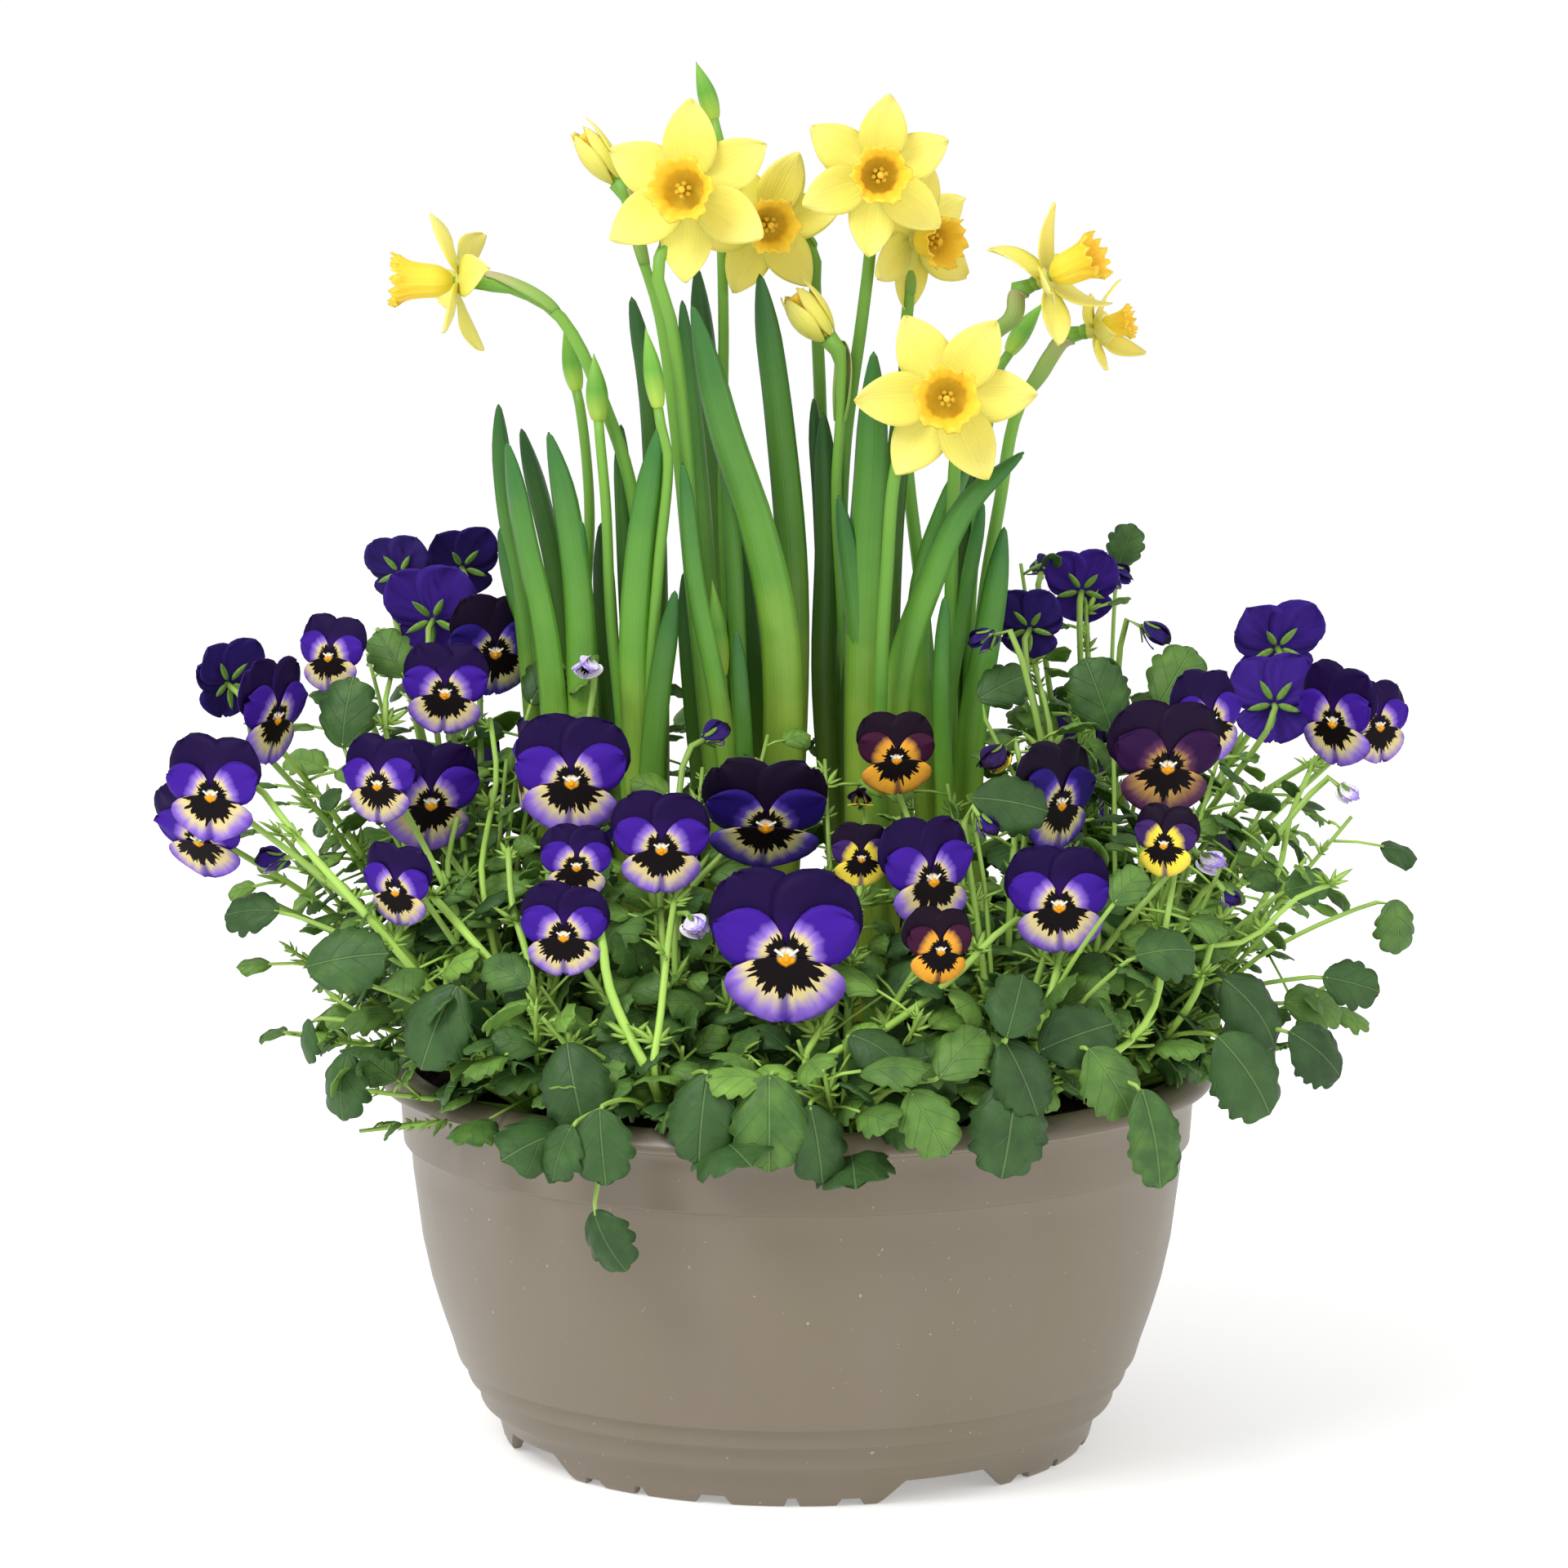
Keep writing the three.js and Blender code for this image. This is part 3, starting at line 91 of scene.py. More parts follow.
@dataclass(frozen=True)
class Eye:
    """The place from which the photograph was taken, and the way it looked."""

    focal: float = 6645.0
    middle: float = 960.0
    place: tuple[float, float, float] = (-4.3, -1800.0, 468.8)
    pitch: float = 7.82

    @property
    def ways(self) -> Spots:
        """Give the way ahead and the way that is up in the photograph."""
        tilt = math.radians(self.pitch)
        return np.array([[0.0, math.cos(tilt), -math.sin(tilt)], [0.0, math.sin(tilt), math.cos(tilt)]])

    def seen(self, at: Spot, depth: float) -> Spots:
        """Find the place at a depth that is seen at a spot.

        Args:
            at: Spot in the photograph, across and down.
            depth: The place's y.

        Returns:
            The place.
        """
        ahead, above = self.ways
        ray = ahead + above * (self.middle - at[1]) / self.focal
        ray[0] += (at[0] - self.middle) / self.focal
        return np.array(self.place) + ray * (depth - self.place[1]) / ray[1]

    def spot(self, place: Spots) -> tuple[float, float, float]:
        """Find the spot at which a place is seen.

        Args:
            place: The place.

        Returns:
            Spot across, spot down, and distance ahead of the camera.
        """
        way = place - np.array(self.place)
        far, rise = (float(part) for part in self.ways @ way)
        return self.middle + self.focal * way[0] / far, self.middle - self.focal * rise / far, far


EYE = Eye()


def facing(turn: float, tilt: float, lean: float = 0.0) -> Spots:
    """Give the axes of something that faces a way.

    Args:
        turn: Degrees to the right of the front.
        tilt: Degrees up.
        lean: Degrees that its top leans clockwise.

    Returns:
        Rows for its side, its top and its outward normal.
    """
    turn, tilt, lean = (math.radians(value) for value in (turn, tilt, lean))
    normal = np.array([math.sin(turn) * math.cos(tilt), -math.cos(turn) * math.cos(tilt), math.sin(tilt)])
    side = heading(turn)
    top = np.cross(normal, side)
    leant = side * math.cos(lean) - top * math.sin(lean)
    return np.array([leant, top * math.cos(lean) + side * math.sin(lean), normal])


def heading(angle: float) -> Spots:
    """Give the level way at an angle from the x axis, in radians."""
    return np.array([math.cos(angle), math.sin(angle), 0.0])


def unit(way: Spots) -> Spots:
    """Scale a direction to length one."""
    return way / max(float(np.linalg.norm(way)), TINY)


def units(ways: Spots) -> Spots:
    """Scale rows of directions to length one."""
    return ways / np.maximum(np.linalg.norm(ways, axis=1, keepdims=True), TINY)


def swung(x: Spots, y: Spots, z: Spots, angle: float) -> Spots:
    """Swing a flat shape clockwise round its normal, and give its places as rows."""
    across = y * math.sin(angle) + x * math.cos(angle)
    return np.stack([across, y * math.cos(angle) - x * math.sin(angle), z], axis=1)


def draws(seed: int) -> Iterable[float]:
    """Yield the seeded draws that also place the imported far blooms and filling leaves.

    Args:
        seed: First state of the draw.

    Yields:
        Numbers between 0 and 1.
    """
    state = seed
    while True:
        state = state * 48271 % 2147483647
        yield state / 2147483647


class Route:
    """A smooth curve through points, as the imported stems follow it."""

    def __init__(self, points: Sequence[Spots], fine: int = 20) -> None:
        """Sample the curve.

        Args:
            points: Places on the curve.
            fine: Samples for each stretch between two points.
        """
        knots = [2 * points[0] - points[1], *points, 2 * points[-1] - points[-2]]
        samples = [points[0]]
        for k in range(1, len(knots) - 2):
            before, start, end, after = knots[k - 1:k + 3]
            pairs = ((before, start), (start, end), (end, after))
            gaps = [math.sqrt(np.linalg.norm(b - a)) for a, b in pairs]
            reach = gaps[1] if gaps[1] > 1e-4 else 1.0
            first = gaps[0] if gaps[0] > 1e-4 else reach
            last = gaps[2] if gaps[2] > 1e-4 else reach
            leave = (start - before) / first - (end - before) / (first + reach) + (end - start) / reach
            enter = (end - start) / reach - (after - start) / (reach + last) + (after - end) / last
            for step in range(1, fine + 1):
                t = step / fine
                samples.append(
                    start * (2 * t ** 3 - 3 * t ** 2 + 1) + end * (3 * t ** 2 - 2 * t ** 3)
                    + leave * reach * (t ** 3 - 2 * t ** 2 + t) + enter * reach * (t ** 3 - t ** 2)
                )
        self.samples = np.array(samples)
        steps = np.linalg.norm(np.diff(self.samples, axis=0), axis=1)
        self.marks = np.concatenate([[0.0], np.cumsum(steps)])
        self.length = float(self.marks[-1])

    def at(self, stages: Spots | float) -> Spots:
        """Find places on the curve, one row for each stage, a share of its length."""
        far = np.atleast_1d(stages) * self.length
        return np.stack([np.interp(far, self.marks, self.samples[:, k]) for k in range(3)], axis=1)

    def along(self, stages: Spots | float) -> Spots:
        """Find the curve's unit directions, one row for each stage."""
        stages = np.atleast_1d(stages)
        return units(self.at(np.clip(stages + 0.01, 0, 1)) - self.at(np.clip(stages - 0.01, 0, 1)))

    def swept(self, stages: Spots, rough: Spots, out: Spots, through: Spots) -> Spots:
        """Carry a cross-section along the curve.

        Args:
            stages: Stage of each vertex.
            rough: About the way in which the width is measured.
            out: How far each vertex stands out in the way of the width.
            through: How far it stands out in the way of the thickness.

        Returns:
            The places of the vertices.
        """
        ways = self.along(stages)
        side = units(rough - ways * (ways @ rough)[:, None])
        return self.at(stages) + side * out[:, None] + np.cross(ways, side) * through[:, None]


SOIL_RADIUS = 127.0
SOIL_EDGE = 121.0
SOIL_RISE = 8.0


def soil_height(x: float, y: float) -> float:
    """Give the height of the mounded soil at a place."""
    return SOIL_EDGE + SOIL_RISE * (1 - (x * x + y * y) / SOIL_RADIUS ** 2)


class Solid:
    """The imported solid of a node, for finding how near a piece lies to it."""

    def __init__(self, node: str) -> None:
        """Read the node.

        Args:
            node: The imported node's name.
        """
        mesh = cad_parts[node].data
        corners = [vertex.co.copy() for vertex in mesh.vertices]
        self.tree = BVHTree.FromPolygons(corners, [tuple(face.vertices) for face in mesh.polygons])

    def gap(self, places: Iterable[Spots]) -> float:
        """Give the mean distance from places to the solid, in millimetres."""
        return float(np.mean([self.tree.find_nearest(Vector(place * MM))[3] for place in places])) / MM

    def nearest(self, routes: Iterable[Route], *stages: float) -> Route:
        """Pick the route whose places at these stages lie nearest to the solid."""
        return min(routes, key=lambda route: self.gap(route.at(np.array(stages))))


def read_spots(mesh: bpy.types.Mesh) -> Spots:
    """Read a mesh's vertices as rows."""
    return np.array([vertex.co[:] for vertex in mesh.vertices])


def select(*pieces: Thing) -> None:
    """Select only these pieces, because an operator acts on all that is selected.

    Args:
        pieces: The pieces, of which the first one becomes active.
    """
    bpy.ops.object.select_all(action="DESELECT")
    for piece in pieces:
        piece.select_set(True)
    if pieces:
        bpy.context.view_layer.objects.active = pieces[0]


def joined(pieces: Sequence[Thing], fresh: bool = True) -> Thing:
    """Join pieces.

    Args:
        pieces: The pieces.
        fresh: Whether they are copies that aren't in the scene yet.

    Returns:
        The first of them, which holds all.
    """
    for piece in pieces if fresh else ():
        bpy.context.scene.collection.objects.link(piece)
    select(*pieces)
    if len(pieces) > 1:
        bpy.ops.object.join()
    return pieces[0]


def edit(piece: Thing, operator: str, **options: object) -> None:
    """Run a mesh operator on all of a piece in edit mode.

    Args:
        piece: The piece.
        operator: The operator's name.
        options: Its options.
    """
    select(piece)
    bpy.ops.object.mode_set(mode="EDIT")
    bpy.ops.mesh.select_all(action="SELECT")
    getattr(bpy.ops.mesh, operator)(**options)
    bpy.ops.object.mode_set(mode="OBJECT")


def modified(piece: Thing, kind: str, **settings: object) -> None:
    """Add a modifier to a piece and apply it.

    Args:
        piece: The piece.
        kind: The modifier's type.
        settings: The modifier's settings.
    """
    modifier = piece.modifiers.new(kind.title(), kind)
    for name, value in settings.items():
        setattr(modifier, name, value)
    select(piece)
    bpy.ops.object.modifier_apply(modifier=modifier.name)


class Pattern:
    """A primitive that every sheet or stem of one fineness is copied from."""

    made: list["Pattern"] = []

    def __init__(self, across: int, along: int, rolled: bool = False, closed: bool = True) -> None:
        """Add the primitive, and roll it up where a stem or a cup needs it.

        Args:
            across: Faces across, or round.
            along: Faces from base to tip.
            rolled: Whether the grid is rolled up into a tube.
            closed: Whether its tip closes to a point, as its base always does.
        """
        select()
        bpy.ops.mesh.primitive_grid_add(x_subdivisions=across, y_subdivisions=along, size=2.0)
        self.piece = bpy.context.active_object
        side, share = read_spots(self.piece.data).T[:2]
        share = (share + 1) / 2
        end = (share < 1e-4) | ((share > 1 - 1e-4) & closed)
        wide = np.where(end, 0.0, 1.0)
        if rolled:
            spots = np.stack([wide * np.sin(np.pi * side), -wide * np.cos(np.pi * side), share], axis=1)
        else:
            spots = np.stack([wide * side, 0 * side, share], axis=1)
        self.piece.data.vertices.foreach_set("co", spots.ravel())
        edit(self.piece, "remove_doubles", threshold=1e-5)
        if rolled:
            edit(self.piece, "normals_make_consistent", inside=False)
        spots = read_spots(self.piece.data)
        self.u, self.v = spots[:, 0], spots[:, 2]
        self.round = spots[:, :2]
        self.stage = np.clip((self.v * along - 1) / (along - 2), 0, 1)
        self.corners = np.empty(len(self.piece.data.loops), dtype=int)
        self.piece.data.loops.foreach_get("vertex_index", self.corners)
        Pattern.made.append(self)

    def copy(self, spots: Spots, chart: Spots | None = None, **marks: float | Spots) -> Thing:
        """Copy the primitive with its vertices moved into place.

        Args:
            spots: Places of the vertices.
            chart: Flat coordinates of the vertices, for the finish; the grid's own if left out.
            marks: Values of the piece's own attributes, each one for all vertices or one for each.

        Returns:
            The copy, with a mesh of its own, not yet in the scene.
        """
        mesh = self.piece.data.copy()
        mesh.vertices.foreach_set("co", (spots * MM).ravel())
        if chart is not None:
            mesh.uv_layers[0].data.foreach_set("uv", chart[self.corners].ravel())
        for name, value in marks.items():
            attribute = mesh.attributes.new(name, "FLOAT", "POINT")
            attribute.data.foreach_set("value", np.broadcast_to(value, len(mesh.vertices)).astype(float))
        return bpy.data.objects.new(self.piece.name, mesh)

    @classmethod
    def clear(cls) -> None:
        """Remove the primitives once everything is copied from them."""
        while cls.made:
            bpy.data.objects.remove(cls.made.pop().piece)


class Spray(Pattern):
    """Shaped copies of a primitive, joined and then copied as one."""

    def __init__(self, parts: list[Thing]) -> None:
        """Join the parts.

        Args:
            parts: Copies shaped in shares of the spray's length.
        """
        self.piece = joined(parts)
        self.shape = read_spots(self.piece.data) / MM
        Pattern.made.append(self)


@dataclass
class Piece:
    """One piece of the dressed planter, gathered from copies."""

    name: str
    node: str
    slot: str
    finish: Finish
    thick: float = 0.0
    copies: list[Thing] = field(default_factory=list)

    def close(self) -> None:
        """Join the copies, thicken a sheet, and hand the piece to the frame."""
        if self.copies:
            piece = joined(self.copies)
            if self.thick:
                modified(piece, "SOLIDIFY", thickness=self.thick * MM, offset=0.0)
            for face in piece.data.polygons:
                face.use_smooth = True
            self.hand_over(piece)

    def hand_over(self, piece: Thing) -> None:
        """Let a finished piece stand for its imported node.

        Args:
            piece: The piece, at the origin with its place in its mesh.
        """
        piece.name = self.name
        piece.data.name = self.name
        piece.data.materials.clear()
        piece.data.materials.append(self.finish)
        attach(piece, "root")
        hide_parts(self.node)
        LOG.info("%s: %d faces, stands for %s", piece.name, len(piece.data.polygons), self.node)


def linear(code: str) -> tuple[float, float, float, float]:
    """Turn six hex digits of sRGB into linear red, green, blue and full alpha."""
    shares = [int(code[k:k + 2], 16) / 255 for k in (0, 2, 4)]
    return *(s / 12.92 if s <= 0.04045 else ((s + 0.055) / 1.055) ** 2.4 for s in shares), 1.0


def feed(node: bpy.types.Node, inputs: dict[str | int, object]) -> None:
    """Set or link a node's inputs.

    Args:
        node: The node.
        inputs: For each input, a value or the output that feeds it.
    """
    for key, value in inputs.items():
        if isinstance(value, bpy.types.NodeSocket):
            node.id_data.links.new(value, node.inputs[key])
        else:
            node.inputs[key].default_value = value


def add_node(
    tree: bpy.types.NodeTree, kind: str, inputs: dict[str | int, object] | None = None,
    stops: Sequence[tuple[float, str]] = (), out: str | int = 0, **settings: object,
) -> bpy.types.NodeSocket:
    """Add a node with its settings, its values and its links.

    Args:
        tree: Node tree that it goes into.
        kind: The node's type, without the word that all of them start with.
        inputs: For each input, a value or the output that feeds it.
        stops: Place and hex colour of each stop, where the node has a colour ramp.
        out: Which of its outputs is wanted.
        settings: The node's own properties.

    Returns:
        The output.
    """
    node = tree.nodes.new(f"ShaderNode{kind}")
    for name, value in settings.items():
        setattr(node, name, value)
    feed(node, inputs or {})
    for k, (place, code) in enumerate(stops):
        elements = node.color_ramp.elements
        stop = elements[k] if k < 2 else elements.new(place)
        stop.position = place
        stop.color = linear(code)
    return node.outputs[out]


def start(name: str) -> tuple[Finish, Callable[..., bpy.types.NodeSocket]]:
    """Make a material.

    Args:
        name: The finish's name.

    Returns:
        The material, and add_node for its own tree.
    """
    material = bpy.data.materials.new(name)
    material.use_nodes = True
    return material, partial(add_node, material.node_tree)


def finished(material: Finish, **inputs: object) -> Finish:
    """Set or link the inputs of a material's shader.

    Args:
        material: The material.
        inputs: The shader's inputs, with underscores for spaces.

    Returns:
        The material.
    """
    shader = material.node_tree.nodes["Principled BSDF"]
    feed(shader, {key.replace("_", " "): value for key, value in inputs.items()})
    return material


# Settings of a range with soft ends, and of a mix of two colours
SMOOTH = {"interpolation_type": "SMOOTHSTEP"}
BLEND = {"out": 2, "data_type": "RGBA"}


@dataclass(frozen=True)
class ViolaPetal:
    """Living pansy petal: velvety cells that drink light at the edge and glow towards the throat."""

    tone: Tone
    near: str
    middle: str
    far: str
    rim: str
    upper: str
    upper_rim: str
    behind: str
    blotch: str = "0C0306"
    beak: str = "F2A31A"
    tuft: str = "F3ECD6"

    def material(self) -> Finish:
        """Build the petal's finish.

        Its chart holds the angle round the throat and the distance from it, in shares of the width.
        The marks on each petal say how far its blotch and its pale field reach.

        Returns:
            The material.
        """
        material, add = start(f"viola_petal_{self.tone.value}")
        marks = ("blotch", "pale", "upper", "own", "eye", "face_x", "face_y", "face_z")
        blotch, pale, upper, own, eye, *looks = (add("Attribute", out="Fac", attribute_name=m) for m in marks)
        chart = add("UVMap", uv_map="UVMap")
        angle, far = add("SeparateXYZ", {0: chart}).node.outputs[:2]
        place = add("CombineXYZ", {0: angle, 1: far, 2: own})
        streak_place = add("Mapping", {0: place, "Scale": (34.0, 3.0, 40.0)})
        streaks = add("TexNoise", {0: streak_place, "Scale": 1.0, "Detail": 3.0})
        ray_place = add("Mapping", {0: place, "Scale": (60.0, 1.5, 40.0)})
        rays = add("TexNoise", {0: ray_place, "Scale": 1.0, "Detail": 1.0})
        shift = add("Math", {0: streaks, 1: 0.36, 2: -0.18}, operation="MULTIPLY_ADD")
        share = add("Math", {0: far, 1: pale}, operation="DIVIDE")
        moved = add("Math", {0: share, 1: shift}, operation="ADD")
        halved = add("Math", {0: moved, 1: 0.5}, operation="MULTIPLY")
        stops = [(0.18, self.near), (0.34, self.middle), (0.46, self.far), (0.6, self.rim), (0.8, self.rim)]
        face = add("ValToRGB", {0: halved}, stops)
        back = add("ValToRGB", {0: moved}, [(0.35, self.upper), (1.0, self.upper_rim)])
        colour = add("Mix", {0: upper, 6: face, 7: back}, **BLEND)
        # A fine dark line runs down the middle of the lower petal
        aside = add("Math", {0: angle, 1: 0.5}, operation="SUBTRACT")
        aside = add("Math", {0: aside}, operation="ABSOLUTE")
        midline = add("MapRange", {0: aside, 1: 0.03, 2: 0.004}, **SMOOTH)
        midline = add("Math", {0: midline, 1: eye}, operation="MULTIPLY")
        midline = add("Math", {0: midline, 1: 0.8}, operation="MULTIPLY")
        colour = add("Mix", {0: midline, 6: colour, 7: linear(self.rim)}, **BLEND)
        # The blotch runs out into rays
        ray_reach = add("Math", {0: rays, 1: 0.95, 2: 0.5}, operation="MULTIPLY_ADD")
        edge = add("Math", {0: blotch, 1: ray_reach}, operation="MULTIPLY")
        inside = add("Math", {0: edge, 1: far}, operation="SUBTRACT")
        dark = add("MapRange", {0: inside, 1: -0.008, 2: 0.004}, **SMOOTH)
        colour = add("Mix", {0: dark, 6: colour, 7: linear(self.blotch)}, **BLEND)
        # The orange beak on the lower petal and the pale tufts on the side petals
        beak = add("Mix", {0: eye, 6: linear(self.tuft), 7: linear(self.beak)}, **BLEND)
        at_eye = add("MapRange", {0: far, 1: 0.07, 2: 0.045}, **SMOOTH)
        lower = add("Math", {0: upper, 1: -1.0, 2: 1.0}, operation="MULTIPLY_ADD")
        at_eye = add("Math", {0: at_eye, 1: lower}, operation="MULTIPLY")
        colour = add("Mix", {0: at_eye, 6: colour, 7: beak}, **BLEND)
        # The back of the petal is duller and shows its veins
        looks_at = add("CombineXYZ", dict(enumerate(looks)))
        normal = add("NewGeometry", out="True Normal")
        faced = add("VectorMath", {0: looks_at, 1: normal}, out="Value", operation="DOT_PRODUCT")
        turned = add("MapRange", {0: faced, 1: -0.02, 2: -0.1}, **SMOOTH)
        veined = add("Math", {0: streaks, 1: 1.1, 2: 0.45}, operation="MULTIPLY_ADD")
        rear = add("VectorMath", {0: linear(self.behind)[:3], "Scale": veined}, operation="SCALE")
        colour = add("Mix", {0: turned, 6: colour, 7: rear}, **BLEND)
        bump = add("Bump", {"Height": streaks, "Strength": 0.25, "Distance": 0.0004})
        return finished(
            material, Base_Color=colour, Normal=bump, Roughness=0.6, Sheen_Weight=0.02,
            Sheen_Roughness=0.4, Specular_IOR_Level=0.12,
        )


@dataclass(frozen=True)
class LeafGreen:
    """Living leaf: matt upper skin over green flesh, with paler veins sunk into it."""

    name: str
    deep: str
    middle: str
    young: str
    vein: str
    veins: float = 7.0

    def material(self) -> Finish:
        """Build the leaf's finish from its flat chart and its age.

        Returns:
            The material.
        """
        material, add = start(self.name)
        chart = add("UVMap", uv_map="UVMap")
        across, along = add("SeparateXYZ", {0: chart}).node.outputs[:2]
        age = add("Attribute", out="Fac", attribute_name="age")
        place = add("TexCoord", out="Object")
        mottle = add("TexNoise", {0: place, "Scale": 140.0, "Detail": 4.0})
        green = add("Math", {0: mottle, 1: 0.44, 2: age}, operation="MULTIPLY_ADD")
        stops = [(0.1, self.deep), (0.5, self.middle), (1.0, self.young)]
        flesh = add("ValToRGB", {0: green}, stops)
        out = add("Math", {0: across, 1: 0.5}, operation="SUBTRACT")
        out = add("Math", {0: out}, operation="ABSOLUTE")
        midrib = add("MapRange", {0: out, 1: 0.022, 2: 0.006}, **SMOOTH)
        # Side veins sweep from the midrib towards the tip
        swept = add("Math", {0: out, 1: -1.1, 2: along}, operation="MULTIPLY_ADD")
        counted = add("Math", {0: swept, 1: self.veins}, operation="MULTIPLY")
        saw = add("Math", {0: counted, 1: 1.0}, operation="PINGPONG")
        ribs = add("MapRange", {0: saw, 1: 0.1, 2: 0.0, 4: 0.45}, **SMOOTH)
        veins = add("Math", {0: midrib, 1: ribs}, operation="MAXIMUM")
        faint = add("Math", {0: veins, 1: 0.26}, operation="MULTIPLY")
        colour = add("Mix", {0: faint, 6: flesh, 7: linear(self.vein)}, **BLEND)
        height = add("Math", {0: veins, 1: -0.6, 2: mottle}, operation="MULTIPLY_ADD")
        bump = add("Bump", {"Height": height, "Strength": 0.8, "Distance": 0.0011})
        return finished(
            material, Base_Color=colour, Normal=bump, Roughness=0.52, Specular_IOR_Level=0.3,
            Subsurface_Weight=0.08, Subsurface_Scale=0.001,
        )


@dataclass(frozen=True)
class GrownSkin:
    """Skin of a stem, strap leaf, bud or daffodil petal: fine ribs along its length, paler one end."""

    name: str
    base: str
    middle: str
    tip: str
    ribs: float
    rough: float = 0.45
    rib_depth: float = 0.3
    glow: float = 0.0
    shade: float = 0.25
    fresh: float = 0.12

    def material(self) -> Finish:
        """Build the finish from the grid's own chart, across and along.

        Returns:
            The material.
        """
        material, add = start(self.name)
        chart = add("UVMap", uv_map="UVMap")
        along = add("SeparateXYZ", {0: chart}, out=1)
        age = add("Attribute", out="Fac", attribute_name="age")
        place = add("TexCoord", out="Object")
        cloud = add("TexNoise", {0: place, "Scale": 60.0, "Detail": 3.0})
        lines_at = add("Mapping", {0: chart, "Scale": (self.ribs, 1.5, 1.0)})
        lines = add("TexNoise", {0: lines_at, "Scale": 1.0, "Detail": 2.0})
        drift = add("Math", {0: cloud, 1: 0.2, 2: along}, operation="MULTIPLY_ADD")
        stops = [(self.fresh, self.base), (0.6, self.middle), (0.98, self.tip)]
        skin = add("ValToRGB", {0: drift}, stops)
        dim = add("Math", {0: lines, 1: self.shade, 2: 1.0 - 0.5 * self.shade}, operation="MULTIPLY_ADD")
        aged = add("Math", {0: dim, 1: age}, operation="MULTIPLY")
        colour = add("VectorMath", {0: skin, "Scale": aged}, operation="SCALE")
        bump = add("Bump", {"Height": lines, "Strength": self.rib_depth, "Distance": 0.0006})
        return finished(
            material, Base_Color=colour, Normal=bump, Roughness=self.rough, Specular_IOR_Level=0.4,
            Subsurface_Weight=self.glow, Subsurface_Scale=0.002,
        )


@dataclass(frozen=True)
class MouldedPolypropylene:
    """Injection-moulded polypropylene: an even satin skin with flow marks and light specks."""

    name: str = "moulded_polypropylene"
    body: str = "766B58"
    flow: str = "786D5F"
    scuff: str = "C9C1B4"

    def material(self) -> Finish:
        """Build the bowl's finish.

        Returns:
            The material.
        """
        material, add = start(self.name)
        place = add("TexCoord", out="Object")
        # Flow marks a few centimetres long, stretched up the wall as the plastic ran
        flow_at = add("Mapping", {0: place, "Scale": (26.0, 26.0, 5.0)})
        flow = add("TexNoise", {0: flow_at, "Scale": 1.0, "Detail": 5.0})
        skin = add("ValToRGB", {0: flow}, [(0.3, self.flow), (0.68, self.body)])
        # Dust specks under a millimetre wide, sparse as on a handled pot
        specks = add("TexNoise", {0: place, "Scale": 480.0, "Detail": 1.0})
        worn = add("MapRange", {0: specks, 1: 0.76, 2: 0.82, 4: 0.5})
        colour = add("Mix", {0: worn, 6: skin, 7: linear(self.scuff)}, **BLEND)
        rough = add("MapRange", {0: flow, 3: 0.3, 4: 0.46})
        fine = add("TexNoise", {0: place, "Scale": 900.0, "Detail": 1.0})
        bump = add("Bump", {"Height": fine, "Strength": 0.06, "Distance": 0.0003})
        return finished(
            material, Base_Color=colour, Normal=bump, Roughness=rough, Specular_IOR_Level=0.5, IOR=1.49
        )


@dataclass(frozen=True)
class Peat:
    """Moist peat compost: matt, crumbly and nearly black, with reddish crumbs showing."""

    name: str
    dark: str
    light: str

    def material(self) -> Finish:
        """Build the soil's finish.

        Returns:
            The material.
        """
        material, add = start(self.name)
        place = add("TexCoord", out="Object")
        crumbs = add("TexNoise", {0: place, "Scale": 420.0, "Detail": 6.0})
        colour = add("ValToRGB", {0: crumbs}, [(0.36, self.dark), (0.66, self.light)])
        bump = add("Bump", {"Height": crumbs, "Strength": 0.9, "Distance": 0.001})
        return finished(material, Base_Color=colour, Normal=bump, Roughness=0.95, Specular_IOR_Level=0.2)


# Pansy crowns: the place of each plant, front to back round the bowl
CROWNS = {
    "front_left": (-84, -76),
    "front_middle_left": (-40, -102),
    "front_middle": (14, -110),
    "front_right": (66, -90),
    "right_front": (106, -38),
    "right_back": (104, 40),
    "back_right": (44, 100),
    "back_left": (-46, 98),
    "left": (-108, 8),
}

